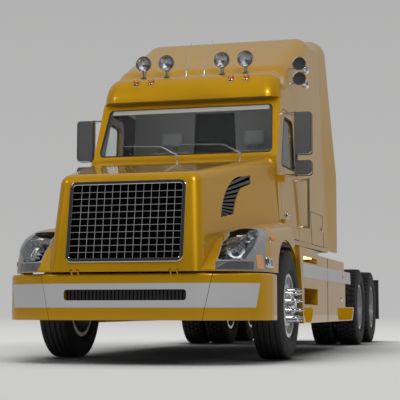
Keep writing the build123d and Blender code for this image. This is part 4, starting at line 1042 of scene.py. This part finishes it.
# %% Mirrors and door handles
HEADS = ((1842, 2000), (2058, 2500))
MIRROR_GLASS = finish("silvered_glass", (0.80, 0.82, 0.82), 0.02, 1.0, 0.01, 0.3, 0.02, 0.0)
glass, trim, pulls = bmesh.new(), bmesh.new(), bmesh.new()
for low, high in HEADS:
    middle, tall = (low + high) / 2, (high - low) / 1000
    plate(glass, mm(1189.5, 816, middle), (0.147, 0.006, tall - 0.028), edge=0.002)
    bar(trim, mm(1273, 741, low + 28), mm(1273, 741, high - 28), 0.006)
    bar(trim, mm(1130, 741, low + 5), mm(1248, 741, low + 5), 0.006)
    bar(trim, mm(1248, 741, low + 5), mm(1273, 741, low + 28), 0.006)
for z in (1850, 2492):
    bar(trim, mm(985 + (1900 - z) * 0.02, 790, z), mm(1102, 790, z), 0.0145)
bar(trim, mm(1100, 790, 1836), mm(1100, 790, 2508), 0.0145)
plate(pulls, mm(1018, 751, 1424), (0.020, 0.090, 0.062), facing(CAB_OUT), 0.007, 3)
plate(pulls, mm(1036, 751, 1436), (0.018, 0.105, 0.022), facing(CAB_OUT), 0.007, 3)
sets = [("mirror_glass_", glass, MIRROR_GLASS, "chrome"), ("mirror_trim_", trim, CHROME, "chrome")]
sets.append(("door_pull_", pulls, CHROME, "chrome"))
for name, bm, material, slot in sets:
    other = bm.copy()
    bmesh.ops.scale(other, vec=(-1, 1, 1), verts=other.verts)
    make(name + "left", bm, material, "door_left")
    make(name + "right", other, material, "door_right")
print("mirrors and pulls on both doors")

# %% [markdown]
# Two wiper arms lie across the foot of the windscreen. The solid's arms are thick enough to print; these are
# the thin bright arms a driver sees, each bent once, with a rubber blade under its outer part.

# %% Wipers
WIPERS = [
    # pivot X, elbow X, tip X
    (-64, -246, -678),
    (599, 417, -58),
]
arms, blades = bmesh.new(), bmesh.new()
for pivot, elbow, tip in WIPERS:
    start, knee, end = mm(pivot, 415, 2052), mm(elbow, 466, 2152), mm(tip, 474, 2170)
    bar(arms, start, knee, 0.006, 0.0045, 12)
    bar(arms, knee, end, 0.0045, 0.0035, 12)
    joint = Matrix.Translation(knee)
    bmesh.ops.create_uvsphere(arms, u_segments=12, v_segments=8, radius=0.006, matrix=joint)
    bar(arms, mm(pivot, 415, 2000), mm(pivot, 415, 2060), 0.014, 0.011)
    under = SCREEN_OUT * -0.007
    bar(blades, knee.lerp(end, 0.1) + under, end + under, 0.004, None, 8)
wipers = make("wiper_arms", arms, ALLOY, "chassis")
make("wiper_blades", blades, RUBBER, "chassis")
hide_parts("wipers")
print("wipers", len(WIPERS))

# %% [markdown]
# The sleeper's side has a baggage door below the bunk, seen as a thin seam with a chrome latch. On its back
# is a bracket with the trailer's three couplings. Seams are thin bars on the wall; the couplings are lathe
# work.


# %% Sleeper fittings
def on_wall(y, z, out=0):
    """Point on the cab's left wall, in millimetres."""
    return mm(1015 + CAB_FLARE * (y - 400) - CAB_LEAN * (z - 1150) + out, y, z)


HATCH = [(1960, 1200), (2640, 1200), (2640, 1570), (1960, 1570)]
seams, fittings = bmesh.new(), bmesh.new()
for (y, z), (to_y, to_z) in zip(HATCH, HATCH[1:] + HATCH[:1]):
    bar(seams, on_wall(y, z), on_wall(to_y, to_z), 0.003, None, 8)
plate(fittings, on_wall(2560, 1400, 6), (0.016, 0.070, 0.048), facing(CAB_OUT), 0.005, 3)
mirrored(seams)
mirrored(fittings)
make("hatch_seams", seams, RUBBER, "chassis")
COUPLING = [(0.0, 0.0), (0.0, 0.034), (0.016, 0.034), (0.016, 0.026), (0.050, 0.026), (0.056, 0.031)]
COUPLING += [(0.068, 0.031), (0.070, 0.018), (0.060, 0.0)]
BRACKET_Y, BRACKET_Z = 2872, 1640
plate(fittings, mm(0, BRACKET_Y, BRACKET_Z), (0.42, 0.012, 0.12), edge=0.004)
for x in (-130, 0, 130):
    turned(fittings, mm(x, BRACKET_Y + 6, BRACKET_Z), BACK, COUPLING, 24)
make("sleeper_fittings", fittings, CHROME, "chassis", 40)
print("hatches and couplings fitted")

# %% [markdown]
# The side fairings carry the same silver band, and deeper gold scuff panels along the foot. Both are lifted
# off the fairing's outer face like the bumper's band, between cutting planes.


# %% Fairing bands and scuff panels
def outer_left(face):
    """True for the outer face of the left fairing."""
    return face.normal.x > 0.9 and face.calc_center_median().x > 1.19


cuts = [(mm(0, 0, 940), UP), (mm(0, 0, 800), -UP), (mm(0, 606, 0), -BACK)]
bm = skin("side_fairings", cuts, outer_left, 0.002, 0.004)
mirrored(bm)
make("fairing_bands", bm, SILVER, "chassis")
SCUFFS = [
    # front Y, rear Y
    (670, 1190),
    (2966, 4300),
]
SCUFF_Z = (346, 494)
SCUFF_SLANT = 110
DEEP_GOLD = finish("deep_gold", (0.50, 0.25, 0.004), 0.7, 0.0, 0.06, 0.3, 0.004, 0.03, Specular_IOR_Level=0.0)
bm = bmesh.new()
for front, rear in SCUFFS:
    low, high = SCUFF_Z
    cuts = [(mm(0, 0, high), UP), (mm(0, 0, low), -UP), (mm(0, front, 0), -BACK), (mm(0, rear, 0), BACK)]
    cuts.append((mm(0, front + SCUFF_SLANT, low), Vector((0, -1, -1.3))))
    cuts.append((mm(0, rear - SCUFF_SLANT, low), Vector((0, 1, -1.3))))
    cover = skin("side_fairings", cuts, outer_left, 0.002, 0.004)
    mesh = bpy.data.meshes.new("scuff")
    cover.to_mesh(mesh)
    cover.free()
    bm.from_mesh(mesh)
    bpy.data.meshes.remove(mesh)
mirrored(bm)
scuffs = make("scuff_panels", bm, DEEP_GOLD, "chassis")
print("scuff panels", len(scuffs.data.polygons), "faces")

# %% [markdown]
# A panel seam, a quarter-turn latch and a small amber marker finish the fairing. They are small blocks and a
# spun disc, made on the left and mirrored.

# %% Fairing fittings
SEAM_Y, SEAM_Z = 2220, (345, 1050)
bm = bmesh.new()
size = (0.004, 0.005, (SEAM_Z[1] - SEAM_Z[0]) / 1000)
plate(bm, mm(1201, SEAM_Y, sum(SEAM_Z) / 2), size, edge=0.001, steps=1)
mirrored(bm)
make("fairing_seams", bm, RUBBER, "chassis")
LATCH = [(-0.004, 0.0), (-0.004, 0.034), (0.003, 0.034), (0.006, 0.028), (0.006, 0.022), (0.003, 0.018)]
LATCH.append((0.003, 0.0))
LATCH_Y, LATCH_Z = 3350, 604
bm = bmesh.new()
plate(bm, mm(1202, LATCH_Y, LATCH_Z), (0.010, 0.150, 0.074), edge=0.004)
turned(bm, mm(1206, LATCH_Y, LATCH_Z), SIDE, LATCH, 24)
plate(bm, mm(1212, LATCH_Y, LATCH_Z), (0.012, 0.030, 0.009), edge=0.002)
mirrored(bm)
make("fairing_latches", bm, CHROME, "chassis")
bm = bmesh.new()
plate(bm, mm(1203, 3455, 876), (0.016, 0.105, 0.042), edge=0.006, steps=3)
mirrored(bm)
make("fairing_markers", bm, AMBER, "chassis")
print("fairings trimmed")

# %% [markdown]
# Drivers climb in over two steps. Each tread is a bright plate with rows of raised studs for grip; the studs
# are a few faces each, because there are many of them.

# %% Step treads
TREADS = [
    # middle Y, middle Z, length in m
    (1105, 524, 0.80),
    (1085, 959, 0.84),
]
STUD_GAP = 0.035
bm = bmesh.new()
for y, z, run in TREADS:
    plate(bm, mm(1062, y, z), (0.19, run, 0.006), edge=0.002, steps=1)
    columns = int(run / STUD_GAP)
    for row in range(5):
        for column in range(columns):
            spot = mm(985 + row * 38, y, z + 3)
            spot.y += (column - (columns - 1) / 2) * STUD_GAP + (0.017 if row % 2 else 0)
            bmesh.ops.create_cone(bm, cap_ends=True, segments=8, radius1=0.010, radius2=0.006, depth=0.008,
                                  matrix=Matrix.Translation(spot))
mirrored(bm)
treads = make("step_treads", bm, ALLOY, "chassis")
print("treads", len(treads.data.polygons), "faces")

# %% [markdown]
# The lower step is a pocket in the fairing, with upright ribs on its back wall. In the roof of the upper one
# a warm plate glows a little by itself: a painted highlight, standing for light caught in that pocket, not a
# lamp.

# %% Pocket ribs and step highlights
HIGHLIGHT_GLOW = {"Emission_Color": (1, 0.72, 0.30, 1), "Emission_Strength": 2.2}
STEP_HIGHLIGHT = finish("step_painted_highlight", (0.9, 0.8, 0.6), 0.3, 0.0, 0.03, 0.02, 0.003, 0.1, **HIGHLIGHT_GLOW)
bm = bmesh.new()
for column in range(12):
    plate(bm, mm(964, 735 + column * 68, 606), (0.010, 0.016, 0.166), edge=0.003)
mirrored(bm)
make("pocket_ribs", bm, GOLD, "chassis")
bm = bmesh.new()
plate(bm, mm(1130, 1020, 1007), (0.110, 0.460, 0.008), edge=0.003)
mirrored(bm)
make("step_highlight_plates", bm, STEP_HIGHLIGHT, "chassis")
print("pockets ribbed and lit")

# %% [markdown]
# Steered wheels wear spiked chrome nut covers and a bright hub cap; driven wheels have low covers on the same
# bolt circle. A cover is a flared skirt under a spike, spun in one piece, a little larger than the solid nut
# it hides.

# %% Nut covers
NUTS, NUT_CIRCLE_R = 10, 0.1429
FRONT_X, REAR_X, HUB_Z = 1045, 901, 512
REAR_Y = (5060, 6385)


def nut_covers(bm, centre, out, base, straight, tip):
    """Covers on the bolt circle about a wheel's centre; out is the way the wheel faces along X."""
    profile = [(base, 0.0), (base, 0.026), (base + 0.006, 0.0265), (base + 0.014, 0.0215), (straight, 0.0208)]
    profile += [(straight + 0.006, 0.0195), ((straight + tip) / 2, 0.0115), (tip - 0.002, 0.004), (tip, 0.0)]
    for step in range(NUTS):
        turn = step * 2 * pi / NUTS
        spot = centre + Vector((0, -sin(turn), cos(turn))) * NUT_CIRCLE_R
        turned(bm, spot, SIDE * out, profile, 12)


CAP = [(0.150, 0.0), (0.150, 0.090), (0.168, 0.0885), (0.182, 0.074), (0.190, 0.066), (0.192, 0.040)]
CAP += [(0.188, 0.034), (0.188, 0.0)]
for side, out in zip(SIDES, (1, -1)):
    centre = mm(out * FRONT_X, 0, HUB_Z)
    bm = bmesh.new()
    nut_covers(bm, centre, out, 0.118, 0.206, 0.258)
    turned(bm, centre, SIDE * out, CAP, 40)
    make("nut_covers_front_" + side, bm, CHROME, "wheel_front_" + side, 40)
for number, y in enumerate(REAR_Y, 1):
    for side, out in zip(SIDES, (1, -1)):
        bm = bmesh.new()
        nut_covers(bm, mm(out * REAR_X, y, HUB_Z), out, 0.022, 0.062, 0.080)
        make(f"nut_covers_rear_{number}_{side}", bm, CHROME, f"wheels_rear_{number}_{side}", 40)
print("nut covers on six wheels")

# %% [markdown]
# Behind each steered wheel a pressed steel shield keeps spray off the brake drum. Its black fills the rim's
# inside, partly the shield's own paint and partly painted shade where the back of the rim lies in shadow.
# It is lathe work too, and rides on the knuckle, because it steers but doesn't spin.

# %% Brake shields
SHIELD_PLATE = [(-0.140, 0.080), (-0.140, 0.225), (-0.126, 0.252), (-0.122, 0.252), (-0.135, 0.222)]
SHIELD_PLATE += [(-0.135, 0.080), (-0.140, 0.080)]
for side, out in zip(SIDES, (1, -1)):
    bm = bmesh.new()
    turned(bm, mm(out * FRONT_X, 0, HUB_Z), SIDE * out, SHIELD_PLATE, 40)
    make("brake_shield_" + side, bm, BLACK, "knuckle_" + side)
print("brake shields on both knuckles")

# %% [markdown]
# At the tail, red lenses stand on the lamp blocks, and rows of bolts show along the frame rails. The lenses
# are spun discs; the bolts are six-sided cones of a few faces, because there are so many.

# %% Tail lenses and frame bolts
TAIL_LENS = [(-0.004, 0.0), (-0.004, 0.044), (0.008, 0.044), (0.014, 0.036), (0.016, 0.0)]
bm = bmesh.new()
for x in (258, 362):
    turned(bm, mm(x, 7250, 690), BACK, TAIL_LENS, 32)
mirrored(bm)
make("tail_lenses", bm, RED, "chassis")
bm = bmesh.new()
for y in range(3750, 7200, 110):
    for z in (790, 950):
        bmesh.ops.create_cone(bm, cap_ends=True, segments=6, radius1=0.015, radius2=0.013, depth=0.016,
                              matrix=aim(mm(428, y, z), mm(444, y, z)))
mirrored(bm)
bolts = make("frame_bolts", bm, STEEL, "chassis")
print("bolts", len(bolts.data.polygons), "faces")

# %% [markdown]
# Bright straps hold the fuel tanks, each with a filler cap, and a bright bar weighs down every mudflap. The
# straps are spun about the tank's own axis, so they lie close on it.

# %% Tank straps and flap bars
STRAP = [(-0.028, 0.3005), (-0.028, 0.3045), (-0.022, 0.3055), (0.022, 0.3055), (0.028, 0.3045)]
STRAP += [(0.028, 0.3005), (-0.028, 0.3005)]
FILLER = [(-0.010, 0.0), (-0.010, 0.052), (0.020, 0.052), (0.024, 0.060), (0.044, 0.060), (0.050, 0.052)]
FILLER.append((0.052, 0.0))
FLAP_BOLT = [(0.0, 0.0), (0.0, 0.012), (0.007, 0.009), (0.009, 0.0)]
bm = bmesh.new()
for y in (1900, 2560, 3220):
    turned(bm, mm(800, y, 690), BACK, STRAP, 72)
turned(bm, mm(800, 3340, 990), UP, FILLER, 32)
plate(bm, mm(907, 7224, 352), (0.60, 0.008, 0.030), edge=0.002)
for x in range(640, 1200, 90):
    turned(bm, mm(x, 7220, 884), BACK, FLAP_BOLT, 12)
mirrored(bm)
straps = make("straps_and_caps", bm, CHROME, "chassis", 40)
print("straps and caps", len(straps.data.polygons), "faces")

# %% [markdown]
# With the hood tilted the engine shows, and the solid is a plain block. It is dressed with what a mechanic
# sees first: a ribbed valve cover with its bolts and filler cap, and the two manifolds.

# %% Engine covers
ENGINE_TOP, ENGINE_MID_Y = 1500, -310
COVER_BOLT = [(-0.002, 0.0), (-0.002, 0.013), (0.010, 0.013), (0.012, 0.010), (0.012, 0.0)]
OIL_CAP = [(0.0, 0.0), (0.0, 0.034), (0.02, 0.042), (0.036, 0.040), (0.038, 0.0)]
bm = bmesh.new()
plate(bm, mm(0, ENGINE_MID_Y, ENGINE_TOP + 12), (0.46, 1.04, 0.028), edge=0.006)
plate(bm, mm(0, ENGINE_MID_Y, ENGINE_TOP + 58), (0.38, 0.96, 0.075), edge=0.022, steps=4)
for step in range(-6, 7):
    plate(bm, mm(0, ENGINE_MID_Y + step * 68, ENGINE_TOP + 96), (0.30, 0.014, 0.010), edge=0.003)
make("valve_cover", bm, ALLOY, "chassis")
bm = bmesh.new()
for side in (-1, 1):
    for step in range(-4, 5):
        spot = mm(side * 212, ENGINE_MID_Y + step * 118, ENGINE_TOP + 26)
        turned(bm, spot, UP, COVER_BOLT, 12)
turned(bm, mm(90, -700, ENGINE_TOP + 92), UP, OIL_CAP, 24)
make("engine_bolts", bm, STEEL, "chassis")
bm = bmesh.new()
for side, z in ((1, 1330), (-1, 1250)):
    bar(bm, mm(side * 390, -800, z), mm(side * 390, 180, z), 0.058)
    for step in range(6):
        y = -735 + step * 170
        bar(bm, mm(side * 305, y, z), mm(side * 390, y, z), 0.044)
        plate(bm, mm(side * 316, y, z), (0.014, 0.120, 0.120), edge=0.006)
make("engine_manifolds", bm, CAST, "chassis")
print("engine dressed")

# %% [markdown]
# The fan stands behind the radiator in a round shroud. Its hub and shroud are spun, and its pitched blades
# are one thin plate turned about the hub.

# %% Cooling fan
FAN_BLADES = 9
FAN_HUB = [(-0.03, 0.0), (-0.03, 0.09), (0.05, 0.09), (0.082, 0.06), (0.082, 0.0)]
SHROUD = [(-0.06, 0.325), (-0.06, 0.335), (0.05, 0.335), (0.05, 0.325), (-0.06, 0.325)]
bm = bmesh.new()
fan = mm(0, -965, 1240)
turned(bm, fan, BACK, FAN_HUB, 32)
turned(bm, fan, BACK, SHROUD, 56)
for step in range(FAN_BLADES):
    round_axis = Matrix.Rotation(2 * pi * step / FAN_BLADES, 3, "Y")
    pitched = round_axis @ Matrix.Rotation(radians(32), 3, "Z")
    plate(bm, fan + round_axis @ Vector((0, 0, 0.19)), (0.115, 0.006, 0.22), pitched, 0.002, 1)
make("cooling_fan", bm, PLASTIC, "chassis")
print("fan of", FAN_BLADES, "blades")

# %% [markdown]
# The seats are covered in a woven cloth. Two crossing waves, multiplied, give its threads their relief, and a
# sheen makes it look soft at the edges.


# %% Seat cloth
def woven(name, colour):
    """Woven seat fabric: crossing threads in relief, a soft sheen and a cloudy tint."""
    made = finish(name, colour, 0.9, 0.0, 0.12, 0.06, 0.0012, 0.3, Sheen_Weight=0.4, Sheen_Roughness=0.5)
    nodes, links = made.node_tree.nodes, made.node_tree.links
    place, relief = nodes["Texture Coordinate"], nodes["Bump"]
    threads = nodes.new("ShaderNodeMath")
    threads.operation = "MULTIPLY"
    for index, direction in enumerate(("X", "Z")):
        wave = nodes.new("ShaderNodeTexWave")
        wave.bands_direction = direction
        wave.inputs["Scale"].default_value = 90.0
        wave.inputs["Distortion"].default_value = 0.6
        links.new(place.outputs["Object"], wave.inputs["Vector"])
        links.new(wave.outputs["Fac"], threads.inputs[index])
    links.new(threads.outputs[0], relief.inputs["Height"])
    relief.inputs["Strength"].default_value = 0.5
    relief.inputs["Distance"].default_value = 0.002
    return made


SEAT_CLOTH = woven("seat_cloth", (0.52, 0.52, 0.525))
print("seat cloth ready")

# %% [markdown]
# A seat is three stuffed cushions: a base, a back and a head rest. A block with rounded edges would look like
# wood, so each starts as a slightly smaller block, is remeshed evenly and swells under pressure in the cloth
# solver, as foam fills a cover. How far a point may move is capped.

# %% Stuffing
SEAT_FLOOR, SEAT_X = 1200, 480
VOXEL, FRAMES, PUFF = 0.007, 20, 0.022


def stuffed(name, bm):
    """Swollen mesh of a closed shape: evened out, put under pressure, its movement capped."""
    mesh = bpy.data.meshes.new(name)
    bm.to_mesh(mesh)
    bm.free()
    pad = bpy.data.objects.new(name, mesh)
    scene.collection.objects.link(pad)
    even = pad.modifiers.new("even", "REMESH")
    even.mode = "VOXEL"
    even.voxel_size = VOXEL
    pad.data = bpy.data.meshes.new_from_object(pad.evaluated_get(bpy.context.evaluated_depsgraph_get()))
    pad.modifiers.clear()
    before = [v.co.copy() for v in pad.data.vertices]
    cloth = pad.modifiers.new("stuffing", "CLOTH")
    cloth.settings.use_pressure = True
    cloth.settings.uniform_pressure_force = 4.0
    cloth.settings.effector_weights.gravity = 0.0
    cloth.point_cache.frame_start, cloth.point_cache.frame_end = 1, FRAMES
    for moment in range(1, FRAMES + 1):
        scene.frame_set(moment)
    swollen = bpy.data.meshes.new_from_object(pad.evaluated_get(bpy.context.evaluated_depsgraph_get()))
    pad.modifiers.clear()
    pad.data = swollen
    for vert, start in zip(swollen.vertices, before):
        move = vert.co - start
        if move.length > PUFF:
            vert.co = start + move * (PUFF / move.length)
    scene.frame_set(1)
    return pad


def over_floor(x, y, z):
    """Point in millimetres, its height measured from the cab's floor."""
    return mm(x, y, SEAT_FLOOR + z)


def block_of(points, x, width, shrink, edge):
    """Side-view outline in (Y, Z) millimetres drawn across the seat, then shrunk and rounded."""
    bm = bmesh.new()
    sheet_of(bm, [over_floor(x - width / 2, y, z) for y, z in points], SIDE * width / 1000)
    bmesh.ops.recalc_face_normals(bm, faces=bm.faces)
    bm.normal_update()
    middle = sum((v.co for v in bm.verts), Vector()) / len(bm.verts)
    for vert in bm.verts:
        reach = vert.co - middle
        vert.co = middle + Vector([r - shrink * (1 if r > 0 else -1) for r in reach])
    bmesh.ops.bevel(bm, geom=bm.edges[:], offset=edge, offset_type="OFFSET", affect="EDGES", segments=4,
                    profile=0.5, material=-1)
    return bm


print("stuffing helper ready")

# %% [markdown]
# Sewn channels are pressed in after the stuffing, because the remesh would wipe them out. The right seat is
# the left one moved across, so it is stuffed once.


# %% Sew the seats
def press(mesh, lines, deep, wide):
    """Sewn channels: press the mesh in along upright planes at given places across the seat."""
    for vert in mesh.vertices:
        for line in lines:
            gap = (vert.co.x - line) / wide
            if abs(gap) < 3:
                vert.co -= vert.normal * deep * exp(-gap * gap)


CUSHIONS = [
    # name, outline (Y, Z over the floor), width, places of the sewn channels from the middle
    ("base", [(1050, 320), (1520, 320), (1520, 470), (1050, 470)], 500, (-130, 130)),
    ("back", [(1436, 470), (1560, 470), (1684, 1074), (1588, 1074)], 480, (-120, 120)),
    ("head_rest", [(1592, 1100), (1690, 1096), (1716, 1284), (1632, 1286)], 260, ()),
]
for name, points, width, channels in CUSHIONS:
    left = stuffed(f"seat_{name}_left", block_of(points, SEAT_X, width, 0.014, 0.03))
    press(left.data, [(SEAT_X + channel) / 1000 for channel in channels], 0.010, 0.009)
    right = bpy.data.objects.new(f"seat_{name}_right", left.data.copy())
    right.data.transform(Matrix.Translation((-2 * SEAT_X / 1000, 0, 0)))
    scene.collection.objects.link(right)
    for pad in (left, right):
        pad.data.materials.clear()
        pad.data.materials.append(SEAT_CLOTH)
        pad.data.polygons.foreach_set("use_smooth", [True] * len(pad.data.polygons))
        fine = pad.modifiers.new("fine", "SUBSURF")
        fine.levels = fine.render_levels = 1
        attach(pad, "chassis")
        print(pad.name, len(pad.data.polygons), "faces")

# %% [markdown]
# Under each seat is a boxed pedestal with a slide rail on both sides, and the head rest stands on two steel
# posts. Softened blocks and bars are all they need.

# %% Seat pedestals
bm = bmesh.new()
for x in (SEAT_X, -SEAT_X):
    plate(bm, over_floor(x, 1260, 150), (0.36, 0.34, 0.30), edge=0.02, steps=3)
    plate(bm, over_floor(x, 1270, 312), (0.42, 0.40, 0.022), edge=0.006)
    for reach in (-150, 150):
        plate(bm, over_floor(x + reach, 1260, 12), (0.05, 0.42, 0.022), edge=0.005)
pedestals = make("seat_pedestals", bm, DARK_TRIM, "chassis")
bm = bmesh.new()
for x in (SEAT_X, -SEAT_X):
    for reach in (-60, 60):
        bar(bm, over_floor(x + reach, 1638, 1040), over_floor(x + reach, 1650, 1130), 0.009)
make("head_rest_posts", bm, STEEL, "chassis")
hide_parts("seats")
print("pedestals set")

# %% [markdown]
# The dash gets what a driver sees: two large dials and four small ones, vents, a switch row and a glove-box
# lid. Dials are spun rings with a needle; they carry no lettering.

# %% Dials
DASH_WAY = Vector((0, 210, 80)).normalized()
DASH_TURN = facing(DASH_WAY)
DIALS = [
    # X, Z, radius
    (410, 1818, 52), (540, 1818, 52), (330, 1840, 26), (330, 1780, 26), (620, 1840, 26), (620, 1780, 26),
]
rings, faces, needles = bmesh.new(), bmesh.new(), bmesh.new()
for x, z, radius in DIALS:
    r = radius / 1000
    spot = mm(x, 766 - (z - 1700) * 0.1, z)
    ring = [(-0.004, r), (-0.004, r * 1.1), (0.008, r * 1.1), (0.010, r * 1.04), (0.004, r), (-0.004, r)]
    turned(rings, spot, DASH_WAY, ring, 32)
    turned(faces, spot, DASH_WAY, [(-0.006, 0.0), (-0.006, r), (0.001, r), (0.001, 0.0)], 32)
    root = spot + DASH_WAY * 0.003
    bar(needles, root, root + DASH_TURN @ Vector((0, -r * 0.5, r * 0.6)), 0.0016, 0.0006, 8)
    turned(needles, spot, DASH_WAY, [(0.001, 0.0), (0.001, r * 0.12), (0.006, r * 0.1), (0.007, 0.0)], 16)
make("dial_rings", rings, CHROME, "chassis")
make("dial_faces", faces, RUBBER, "chassis")
make("dial_needles", needles, AMBER, "chassis")
print("dials", len(DIALS))

# %% [markdown]
# Vents, switches and the lid are softened plates set in rows on the dash's face, joined into one piece.

# %% Dash fittings
VENT_X = (-760, -300, 0, 200, 760)
bm = bmesh.new()
for x in VENT_X:
    for row in range(4):
        plate(bm, mm(x, 757, 1815 + row * 16), (0.11, 0.014, 0.008), edge=0.002, steps=1)
for step in range(10):
    plate(bm, mm(-180 + step * 40, 764, 1730), (0.026, 0.02, 0.036), edge=0.004)
plate(bm, mm(-540, 764, 1740), (0.42, 0.02, 0.15), edge=0.008, steps=3)
make("dash_fittings", bm, PLASTIC, "chassis")
print("dash vents", len(VENT_X))
